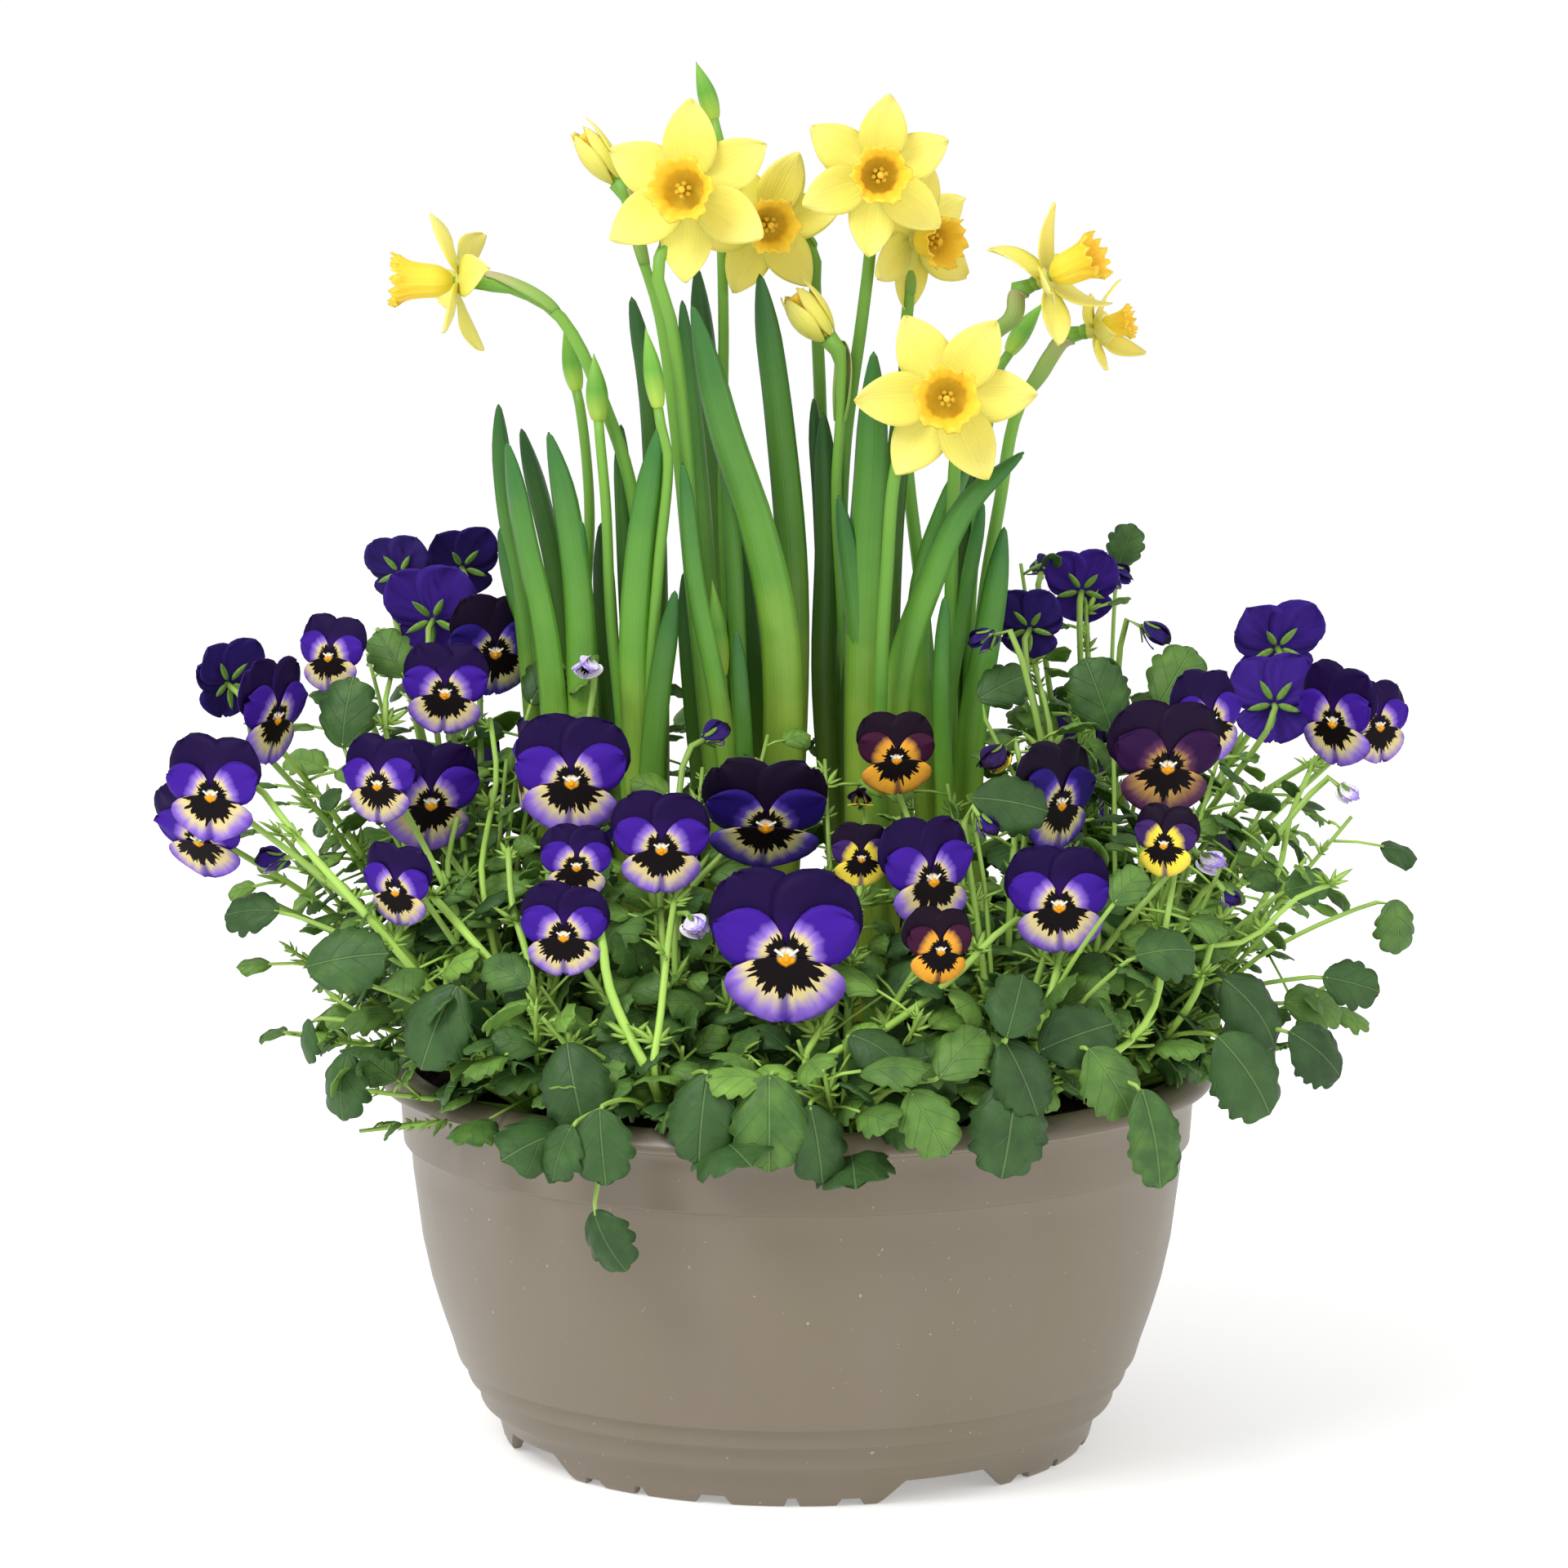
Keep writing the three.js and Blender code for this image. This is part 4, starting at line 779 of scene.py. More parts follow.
# Pansy blooms: spot seen across and down, depth, width, turn, tilt, and what isn't violet and own
BLOOMS = [
    (258, 975, -72, 34, -18, -4),
    (243, 1030, -48, 34, -28, -30, "violet", "open"),
    (276, 835, -12, 27, -140, 5, "dark", "open"),
    (340, 880, -34, 36, 62, -14),
    (402, 805, -14, 26, -28, 4),
    (492, 700, 38, 24, 165, 10, "dark", "open"),
    (565, 693, 52, 26, -165, 10, "dark", "open"),
    (532, 756, 24, 34, 170, 8, "violet", "open"),
    (607, 800, 8, 34, 24, -12, "dark", "own"),
    (545, 850, -18, 30, -4, 0),
    (462, 962, -66, 28, -24, -2),
    (528, 985, -50, 36, 22, -12),
    (484, 1092, -90, 27, -32, -14),
    (700, 958, -70, 38, 2, 0),
    (636, 945, -48, 30, -78, -8, "violet", "open"),
    (722, 808, -34, 17, -15, -30, "white", "folded"),
    (706, 1062, -100, 24, 4, 8),
    (690, 1147, -116, 29, -4, -6),
    (810, 1040, -98, 32, 6, 2),
    (845, 1125, -104, 17, 35, -30, "white", "folded"),
    (963, 1172, -128, 49, 0, -2),
    (938, 1012, -72, 42, 2, -34, "dark", "own"),
    (862, 905, -50, 18, 130, 10, "dark", "folded"),
    (1055, 1052, -104, 20, 10, 0, "golden", "own"),
    (1055, 982, -70, 14, -10, 20, "golden", "folded"),
    (1098, 930, -62, 27, 10, -8, "amber", "own"),
    (1143, 1078, -104, 36, 34, 0),
    (1152, 1165, -124, 24, 22, -6, "amber", "own"),
    (1200, 1000, -90, 15, 80, -60, "dark", "folded"),
    (1228, 915, -58, 20, -60, -50, "golden", "folded"),
    (1300, 985, -64, 36, 46, -8, "dark", "own"),
    (1297, 1110, -102, 34, -2, 0),
    (1262, 768, 6, 24, 165, 5, "dark", "open"),
    (1216, 775, -34, 18, -120, -40, "dark", "folded"),
    (1325, 722, 34, 26, 172, 5, "violet", "open"),
    (1355, 695, 56, 20, 120, -40, "dark", "folded"),
    (1400, 765, 18, 20, 90, -50, "dark", "folded"),
    (1430, 940, -66, 38, 12, -14, "maroon", "own"),
    (1484, 884, -36, 30, 38, 0),
    (1425, 1035, -96, 23, -28, 0, "golden", "own"),
    (1472, 1048, -84, 17, 50, -30, "white", "folded"),
    (1500, 1092, -92, 12, 60, -50, "dark", "folded"),
    (1562, 790, 34, 32, -172, 14),
    (1560, 862, 4, 30, 176, -10, "violet", "open"),
    (1632, 885, -16, 34, -48, -10),
    (1690, 890, 18, 28, 32, 0),
    (1642, 962, -24, 14, 60, -50, "white", "folded"),
    (348, 1050, -44, 20, -120, -20, "violet", "folded"),
    (314, 1108, -34, 18, -90, -30, "violet", "folded"),
    (1275, 700, 60, 18, 170, 10, "dark", "folded"),
]

# Pansy leaves: spot seen across and down, depth, length, lean, turn, tilt, and True where narrow
LEAVES = [
    (425, 1175, -98, 27, 75, -20, 25),
    (425, 872, -30, 24, 5, -10, 10),
    (420, 1330, -84, 22, 185, -30, 15),
    (308, 1118, -64, 20, 265, -20, 40),
    (530, 1255, -112, 29, 200, -20, 20),
    (700, 1322, -140, 28, 165, -10, 30),
    (738, 1405, -152, 24, 175, -5, 10),
    (688, 1412, -150, 19, 200, -30, 10),
    (745, 1520, -148, 21, 150, -30, 5),
    (860, 1370, -150, 28, 185, -5, 20),
    (942, 1372, -156, 30, 180, 0, 20),
    (1000, 1400, -150, 24, 172, 10, 20),
    (1138, 1375, -154, 23, 150, 5, 20),
    (1240, 1378, -150, 31, 190, 10, 20),
    (1245, 1325, -138, 25, 160, 15, 25),
    (1178, 1290, -140, 22, 35, -10, 35),
    (1235, 1245, -130, 23, 20, 10, 30),
    (1318, 1270, -124, 27, 70, 10, 30),
    (1360, 1325, -132, 25, 150, 20, 20),
    (1410, 1395, -134, 33, 168, 20, 5, True),
    (1430, 1165, -106, 23, 85, 20, 30),
    (1535, 1315, -100, 32, 145, 25, 15),
    (1612, 1290, -74, 25, 130, 30, 20),
    (1545, 1235, -84, 30, 140, 30, 20),
    (1610, 1230, -56, 22, 95, 20, 40),
    (1655, 1205, -66, 20, 105, 10, 20),
    (1710, 1135, -54, 18, 175, 20, 10),
    (1600, 1085, -50, 16, 80, 10, 20),
    (375, 1275, -72, 15, 190, -60, 10),
    (1378, 668, 74, 16, 20, 0, 0),
    (1440, 828, 2, 24, 30, 0, 20),
    (1345, 850, -14, 26, -20, 0, 10),
    (1238, 985, -84, 25, 100, 10, 30),
    (1382, 1085, -106, 15, 40, 0, 20),
    (478, 800, -2, 19, -30, 0, 20),
    (664, 826, -12, 18, 30, 0, 20),
    (1230, 840, -30, 20, 60, 0, 30),
    (620, 1190, -112, 18, -60, -10, 35),
    (1075, 1285, -142, 20, 120, 0, 45),
]

# Daffodil clumps: place and radius of each cluster of bulb necks
CLUMPS = [
    ("left", (-74, 2), 10),
    ("middle_left", (-45, -14), 9),
    ("middle", (-13, -4), 12),
    ("middle_right", (27, -6), 11),
    ("right", (58, 4), 10),
]

# Daffodil flowers: spot seen, depth, width, turn, tilt, lean, trumpet, clump, closing, stem
FLOWERS = [
    ((560, 345), 2, 47, -84, 2, 14, 21, 1, 0.1,
     [(672, 375), (702, 411), (738, 491), (771, 590), (790, 760)]),
    ((843, 234), -14, 60, -10, 4, 0, 15, 2, 0.1,
     [(805, 328), (821, 391), (835, 491), (850, 700)]),
    ((936, 272), 20, 52, 12, -4, 22, 14, 3, 0.1,
     [(993, 300), (998, 360), (1003, 455), (1012, 700)]),
    ((1073, 215), 0, 54, 6, 2, 7, 15, 3, 0.1,
     [(1066, 300), (1056, 388), (1034, 554), (1030, 740)]),
    ((1122, 291), 26, 50, 42, -6, 0, 15, 4, 0.1,
     [(1112, 345), (1108, 420), (1110, 560), (1130, 740)]),
    ((1283, 340), 0, 46, 66, 24, 10, 19, 4, 0.1,
     [(1240, 385), (1219, 405), (1189, 442), (1172, 537), (1165, 700)]),
    ((1343, 403), 22, 30, 72, 14, 20, 12, 4, 0.8,
     [(1272, 458), (1245, 505), (1225, 610), (1200, 780)]),
    ((1158, 487), -32, 60, 0, 2, 30, 15, 3, 0.1,
     [(1112, 530), (1096, 580), (1086, 700), (1079, 827)]),
]

# Daffodil buds: spots of tip and base, depth, width, clump, whether half open, and stem
BUDS = [
    ((702, 150), (755, 222), 4, 10, 2, True, [(778, 290), (806, 380), (826, 520), (846, 720)]),
    ((962, 348), (1014, 414), 8, 12, 3, True, [(1030, 488), (1024, 600), (1032, 760)]),
    ((852, 75), (874, 146), 12, 7, 2, False, [(882, 240), (886, 400), (884, 640)]),
    ((690, 404), (706, 478), 14, 7, 0, False, [(718, 560), (722, 640), (716, 760)]),
    ((727, 432), (733, 515), -6, 8, 1, False, [(742, 620), (748, 760), (760, 880)]),
    ((790, 400), (806, 500), -18, 7, 1, False, [(818, 560), (806, 700), (796, 860)]),
    ((872, 708), (884, 830), -24, 7, 2, False, [(890, 880)]),
    ((1278, 370), (1236, 432), 14, 7, 4, False, [(1210, 520), (1196, 640), (1186, 800)]),
]

# Strap leaves: spots from the tip down, depth, width, clump
STRAPS = [
    ([(610, 495), (620, 610), (645, 760)], 6, 7.5, 0),
    ([(621, 541), (640, 650), (671, 805)], -10, 9, 0),
    ([(638, 525), (664, 620), (692, 762)], 16, 8, 0),
    ([(672, 529), (692, 620), (710, 760)], 0, 10, 0),
    ([(711, 636), (714, 749)], -12, 4.5, 0),
    ([(612, 647), (630, 730), (656, 805)], -20, 6, 0),
    ([(760, 520), (766, 640), (772, 760)], 4, 7, 1),
    ([(808, 521), (786, 640), (775, 783), (780, 930)], -22, 9.5, 1),
    ([(827, 723), (806, 850), (797, 957)], -28, 8, 1),
    ([(773, 363), (790, 450), (800, 560)], 20, 7, 1),
    ([(836, 567), (852, 720), (884, 883)], -26, 6.5, 2),
    ([(886, 500), (896, 640), (901, 762)], -12, 6, 2),
    ([(902, 773), (910, 892)], -32, 5.5, 2),
    ([(848, 373), (884, 523), (927, 653), (955, 800)], -20, 13, 2),
    ([(930, 335), (955, 520), (972, 740)], 2, 10, 2),
    ([(853, 327), (868, 480), (880, 640)], 24, 9, 2),
    ([(835, 368), (850, 500), (862, 640)], 8, 6, 2),
    ([(1027, 606), (1046, 740), (1057, 849)], -26, 8, 3),
    ([(1070, 430), (1066, 560), (1057, 720)], -8, 12, 3),
    ([(996, 488), (1006, 600), (1014, 740)], 14, 7, 3),
    ([(1120, 400), (1104, 520), (1090, 680)], 12, 8, 3),
    ([(1254, 554), (1187, 612), (1144, 697), (1096, 850)], -20, 9.5, 3),
    ([(1196, 545), (1160, 620), (1126, 740)], 6, 8, 4),
    ([(1230, 645), (1212, 760), (1187, 920)], -10, 9.5, 4),
    ([(1157, 731), (1152, 860)], -22, 6, 4),
    ([(1204, 614), (1180, 740), (1156, 900)], -2, 5.5, 4),
    ([(1200, 470), (1190, 600), (1170, 760)], 34, 8, 4),
    ([(1008, 505), (1014, 660), (1012, 850)], 22, 9, 3),
    ([(1052, 700), (1046, 800), (1040, 900)], 14, 7, 3),
    ([(905, 640), (918, 760), (930, 880)], 20, 8, 2),
    ([(838, 700), (846, 800), (856, 900)], 24, 8, 2),
    ([(736, 640), (742, 760), (748, 860)], 22, 8, 1),
]


class Form(Enum):
    """How far a pansy bloom is open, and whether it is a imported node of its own."""

    OWN = "own"
    OPEN = "open"
    FOLDED = "folded"


@dataclass(frozen=True)
class Bloom:
    """One pansy bloom: where its throat is, how wide it is, and which way its face looks."""

    centre: Spots
    wide: float
    turn: float
    tilt: float
    tone: Tone
    form: Form
    node: str = ""

    @property
    def axes(self) -> Spots:
        """Give the side, top and normal of the face."""
        return facing(self.turn, self.tilt)

    @property
    def folded(self) -> bool:
        """Tell whether its petals are still rolled together."""
        return self.form is Form.FOLDED


# Leafy shoots seen at the sides and behind the faces: spot and depth of the tip, leaf length
SPRIGS = [
    (300, 1115, -40, 22), (350, 1160, -50, 20), (405, 1220, -66, 22), (350, 1265, -44, 17),
    (400, 1330, -64, 22), (440, 1385, -76, 16), (480, 1190, -76, 24), (335, 1010, -20, 18),
    (425, 870, 10, 26), (450, 800, 20, 18), (560, 1010, -50, 20), (620, 930, -10, 20),
    (1655, 1000, -20, 20), (1600, 1050, -40, 20), (1560, 960, 0, 20), (1640, 1200, -50, 24),
    (1600, 1275, -58, 24), (1560, 1130, -58, 18), (1500, 1050, -56, 20), (1440, 1000, -30, 18),
    (1380, 800, 20, 20), (1320, 870, 10, 22), (1250, 830, 20, 18), (1440, 770, 20, 18),
    (1500, 900, 0, 20), (1330, 740, 30, 15), (1250, 690, 36, 14), (860, 940, -40, 20),
    (940, 900, -36, 18), (1010, 930, -36, 20), (1160, 960, -40, 20), (700, 800, 0, 18),
    (670, 850, 0, 22), (1100, 1000, -56, 16),
    (780, 860, 40, 20), (860, 850, 48, 20), (940, 870, 44, 20), (1010, 870, 46, 20), (1090, 880, 40, 18),
    (720, 870, 30, 20), (800, 1080, -70, 18), (1200, 1080, -70, 20),
]

# Thick pale shoots in front: spots seen from the foot up, depths of foot and tip, width
SHOOTS = [
    ([(795, 1315), (768, 1262), (745, 1205), (735, 1140), (712, 1090)], -128, -106, 3.6),
    ([(800, 1310), (808, 1250), (817, 1165), (826, 1100)], -130, -104, 2.8),
    ([(655, 1240), (620, 1198), (560, 1130), (500, 1055), (494, 1010)], -108, -60, 3.2),
    ([(655, 1245), (648, 1180), (628, 1110), (622, 1040)], -104, -70, 2.8),
    ([(1000, 1305), (1080, 1262), (1170, 1195), (1222, 1142), (1290, 1100)], -130, -84, 2.8),
    ([(985, 1300), (1012, 1250), (1040, 1180), (1050, 1100)], -124, -96, 2.6),
    ([(440, 1110), (385, 1050), (345, 1000), (312, 960), (268, 940)], -84, -56, 3.0),
    ([(1282, 1235), (1298, 1175), (1312, 1120)], -100, -84, 3.4),
    ([(1405, 1250), (1428, 1130), (1440, 1060)], -100, -78, 2.6),
    ([(1465, 1215), (1482, 1160), (1495, 1120)], -84, -70, 2.8),
    ([(1440, 1170), (1530, 1150), (1590, 1098), (1640, 1080)], -76, -60, 2.2),
    ([(545, 1200), (560, 1150), (548, 1060), (560, 1000)], -84, -46, 2.4),
    ([(590, 1080), (596, 1020), (608, 950), (600, 880)], -60, -10, 2.4),
    ([(1290, 960), (1284, 880), (1262, 800)], -20, 10, 2.2),
    ([(470, 880), (478, 830), (470, 770)], -16, 10, 2.2),
    ([(1560, 1080), (1580, 1000), (1610, 930)], -30, 0, 2.4),
]


def near_blooms() -> list[Bloom]:
    """List the blooms that the photograph shows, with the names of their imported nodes.

    Returns:
        The blooms in the order of the table.
    """
    blooms = []
    for across, down, depth, wide, turn, tilt, *kind in BLOOMS:
        tone, form = kind or ("violet", "own")
        count = sum(bloom.form is Form.OWN for bloom in blooms) + 1
        node = f"pansy_bloom_{count:02d}" if form == "own" else ""
        centre = EYE.seen((across, down), depth)
        blooms.append(Bloom(centre, wide, turn, tilt, Tone(tone), Form(form), node))
    return blooms


def far_blooms() -> list[Bloom]:
    """List the blooms on the far side, every second one further in and higher.

    Returns:
        The blooms from the right of the back to its left.
    """
    draw = draws(7)
    blooms = []
    for k in range(10):
        angle = 18 + 144 * k / 9 + 5 * (next(draw) - 0.5)
        out = 152 + 24 * (next(draw) - 0.5) - (k % 2) * 34
        rise = 196 + 26 * (next(draw) - 0.5) + (k % 2) * 24
        wide = 33 * (0.8 + 0.35 * next(draw))
        tilt = 6 * (next(draw) - 0.5)
        centre = out * heading(math.radians(angle)) + rise * UP
        blooms.append(Bloom(centre, wide, angle + 90, tilt, Tone.VIOLET, Form.OPEN))
    return blooms


class Plant(NamedTuple):
    """A pansy plant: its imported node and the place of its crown."""

    node: str
    at: Spot

    def top(self, height: float) -> Spots:
        """Give the place above the crown at a height over the soil."""
        return np.array([*self.at, soil_height(*self.at) + height])

    def start(self, target: Spots, turn: int) -> Spots:
        """Give the place where a stalk leaves the crown.

        Args:
            target: Place that the stalk grows to.
            turn: How many stalks left the crown before, from 0 to 6.

        Returns:
            The place, on the side of the crown towards the target.
        """
        place = self.top(1 + 1.6 * turn)
        return place + 1.75 * unit((target - place) * LEVEL)


def nearest_plant(plants: dict[str, Plant], place: Spots) -> Plant:
    """Find the plant whose crown is nearest to a place."""
    return min(plants.values(), key=lambda plant: math.dist(plant.at, place[:2]))


# How far a stalk may bow sideways and up from its even line
BOWS = [
    (0, 0), (7, 0), (-7, 0), (14, 0), (-14, 0), (0, 8), (0, -8), (22, 0), (-22, 0), (10, 12),
    (-10, 12), (0, 18), (16, -8), (-16, -8), (30, 6), (-30, 6), (0, 28),
]


def bowed(start: Spots, end: Spots, rise: float, bow: Spot) -> Spots:
    """Give the middle of a stalk, moved sideways and upward.

    Args:
        start: Where the stalk starts.
        end: Where it ends.
        rise: How far its middle stands up, as a share of its length.
        bow: How far sideways and how far up it is moved from there.

    Returns:
        The moved middle.
    """
    middle = (start + end) / 2 + UP * rise * math.dist(start, end)
    return middle + np.cross(unit((end - start) * LEVEL), UP) * bow[0] + UP * bow[1]


def tube(
    pattern: Pattern, route: Route, wide: Spots | float, chart: Spots | None = None, age: float = 1.0,
    **marks: float,
) -> Thing:
    """Draw a copy of a rolled primitive along a route.

    Args:
        pattern: The rolled primitive.
        route: The route.
        wide: Width at each vertex.
        chart: Flat coordinates of the vertices, the grid's own if left out.
        age: Brightness of its finish.
        marks: Values of its other attributes.

    Returns:
        The copy.
    """
    rough = np.array([0.83, 0.55, 0.05])
    out, through = (pattern.round * np.reshape(wide, (-1, 1)) / 2).T
    return pattern.copy(route.swept(pattern.stage, rough, out, through), chart, age=age, **marks)


@dataclass(frozen=True)
class PetalShape:
    """One petal of a pansy's face, in shares of the face's width."""

    swing: float
    long: float
    half: float
    back: float
    layer: float
    blotch: float
    pale: float
    upper: float
    eye: float
    notch: float = 0.0

    def spots(self, pattern: Pattern, chance: random.Random, folded: bool) -> tuple[Spots, Spots]:
        """Shape the petal from a flat primitive.

        Args:
            pattern: The flat primitive.
            chance: Source of the petal's own waves.
            folded: Whether the petals are still rolled together.

        Returns:
            Places in shares of the width, and the finish's chart.
        """
        u = pattern.u
        share = (1 - np.cos(np.pi * pattern.v)) / 2
        broad = self.half * np.sin(np.pi * np.clip(share, 0, 1) ** (0.8 if self.eye else 1.2)) ** 0.55
        x = u * broad * chance.uniform(0.93, 1.06)
        y = self.long * share - self.notch * share ** 4 * np.exp(-(u * 3.2) ** 2)
        y -= 0.012 * share ** 3 * np.cos(9 * u + chance.uniform(0, 6))
        wave = share ** 2 * np.sin((4 + chance.random()) * u + chance.uniform(0, 6))
        z = self.layer - self.back * share ** 1.6 + 0.02 * wave - 0.10 * x * x / self.half
        z += 0.02 * share * (1 - u ** 2) + 0.012 * chance.uniform(-1, 1) * share
        z += 0.012 * share ** 3 * np.sin((8 + 4 * chance.random()) * u + chance.uniform(0, 6))
        angle = np.where(share > 1e-3, np.arctan2(x, y), 0.0) / (2 * np.pi) + 0.5
        chart = np.stack([angle, np.hypot(x, y)], axis=1)
        if folded:
            closing = math.radians(68)
            longer = 1.5 * y
            z = z + longer * math.sin(closing)
            y = longer * math.cos(closing) * (1 - 0.5 * share ** 2) + 0.06
        return swung(x, y, z, math.radians(self.swing + chance.uniform(-5, 5))), chart


# The two upper petals, the two side petals and the lower one
FACE = [
    PetalShape(36, 0.60, 0.31, 0.13, -0.034, 0.0, 0.30, 1, 0),
    PetalShape(-33, 0.62, 0.32, 0.12, -0.048, 0.0, 0.30, 1, 0),
    PetalShape(66, 0.50, 0.205, 0.05, -0.010, 0.14, 0.22, 0, 0),
    PetalShape(-66, 0.50, 0.205, 0.05, -0.018, 0.14, 0.22, 0, 0),
    PetalShape(180, 0.44, 0.41, 0.02, 0.006, 0.245, 0.40, 0, 1, 0.03),
]


@dataclass
class PansyBlooms:
    """The pansy blooms: five petals each, sepals behind, and the tufted throat."""

    blooms: list[Bloom]
    plants: dict[str, Plant]
    greens: dict[str, Piece]
    finishes: dict[Tone, Finish]
    petal_thick: float = 0.35
    sepal_share: float = 0.19
    tuft_share: float = 0.036
    chance: random.Random = field(default_factory=lambda: random.Random(3))

    def build(self) -> None:
        """Build every bloom, and add its sepals to its plant's green."""
        self.sheet = Pattern(8, 11)
        self.bead = Pattern(8, 6, rolled=True)
        self.scale = Pattern(2, 6)
        petals: dict[tuple[str, Tone], Piece] = {}
        throats: dict[str, Piece] = {}
        for bloom in self.blooms:
            home = nearest_plant(self.plants, bloom.centre).node
            node = bloom.node or home
            key = (node, bloom.tone)
            if key not in petals:
                tone = Tone.VIOLET if bloom.tone is Tone.WHITE else bloom.tone
                name = f"{node}_{bloom.tone.value}_petals"
                slot = f"pansy_petal_{tone.value}"
                petals[key] = Piece(name, node, slot, self.finishes[bloom.tone], self.petal_thick)
            if node not in throats:
                slot = petals[key].slot
                throats[node] = Piece(f"{node}_throats", node, slot, self.finishes[Tone.GOLDEN])
            petals[key].copies.extend(self.petals(bloom))
            if not bloom.folded:
                throats[node].copies.extend(self.throat(bloom))
            self.greens[home].copies.extend(self.sepals(bloom))
        for piece in (*petals.values(), *throats.values()):
            piece.close()

    def petals(self, bloom: Bloom) -> list[Thing]:
        """Copy the five petals of one bloom.

        Args:
            bloom: The bloom.

        Returns:
            The copies.
        """
        own = self.chance.random()
        size = bloom.wide * (0.72 if bloom.folded else 1.0)
        small = float(np.clip((40 - bloom.wide) / 16, 0, 1))
        looks = dict(zip(("face_x", "face_y", "face_z"), bloom.axes[2]))
        copies = []
        for shape in FACE:
            spots, chart = shape.spots(self.sheet, self.chance, bloom.folded)
            copies.append(self.sheet.copy(
                bloom.centre + size * spots @ bloom.axes, chart, blotch=shape.blotch * (1 + 0.16 * small),
                pale=shape.pale * (1 + 0.22 * small), upper=shape.upper, eye=shape.eye, own=own, **looks,
            ))
        return copies

    def throat(self, bloom: Bloom) -> list[Thing]:
        """Copy the beak and the two white tufts that close the throat.

        Args:
            bloom: The bloom.

        Returns:
            The copies.
        """
        chart = np.tile([0.5, 0.0], (len(self.bead.v), 1))
        copies = []
        for low, high, eye, girth in (
            ((0.0, 0.015, 0.0), (0.0, -0.03, 0.014), 1.0, 1.25),
            ((0.01, 0.0, 0.006), (0.075, 0.05, 0.004), 0.0, 0.5),
            ((-0.01, 0.0, 0.006), (-0.075, 0.05, 0.004), 0.0, 0.5),
        ):
            route = Route([bloom.centre + np.array(end) * bloom.wide @ bloom.axes for end in (low, high)], 4)
            wide = girth * self.tuft_share * bloom.wide
            copies.append(tube(self.bead, route, wide, chart, eye=eye, pale=0.3, own=0.5))
        return copies

    def sepals(self, bloom: Bloom) -> list[Thing]:
        """Copy the five narrow sepals behind one bloom.

        Args:
            bloom: The bloom.

        Returns:
            The copies.
        """
        u, v = self.scale.u, self.scale.v
        long = min(10.5, self.sepal_share * bloom.wide + 2.5)
        base = -0.6 if bloom.folded else -0.058 * bloom.wide - 0.9
        copies = []
        for k in range(5):
            swing = math.radians(36 + 72 * k + self.chance.uniform(-8, 8))
            lift = math.radians(62 if bloom.folded else self.chance.uniform(-28, -4))
            x = u * 0.14 * long * np.sin(np.pi * v ** 0.8) ** 0.8
            y = 1.2 + long * v * math.cos(lift)
            z = base + long * v * math.sin(lift) - 0.5 * v ** 2 + 0.3 * u ** 2
            spots = bloom.centre + swung(x, y, z, swing) @ bloom.axes
            chart = np.stack([x / long + 0.5, v], axis=1)
            copies.append(self.scale.copy(spots, chart, age=self.chance.uniform(0.7, 1.0)))
        return copies


# The bowl's outer reach, its rim's height, and the way of a leaf stalk that hangs over the rim
RIM_RADIUS = 142
RIM_HEIGHT = 132
WALL_RADIUS = 124
OVER_RIM = ((0.93 * 139, 134.5), (1.03 * 139, 132.5))


def blocked(place: Spots) -> bool:
    """Tell whether a place lies in the bowl or its soil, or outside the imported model's box.

    Args:
        place: The place.

    Returns:
        Whether it does.
    """
    out = math.hypot(place[0], place[1])
    ground = RIM_HEIGHT if out > WALL_RADIUS else soil_height(place[0], place[1]) + 1
    low, high = CAD_BOX
    outside = any(not low[k] / MM - 6 < place[k] < high[k] / MM + 6 for k in range(3))
    return (out < RIM_RADIUS and place[2] < ground) or outside or place[2] < 70


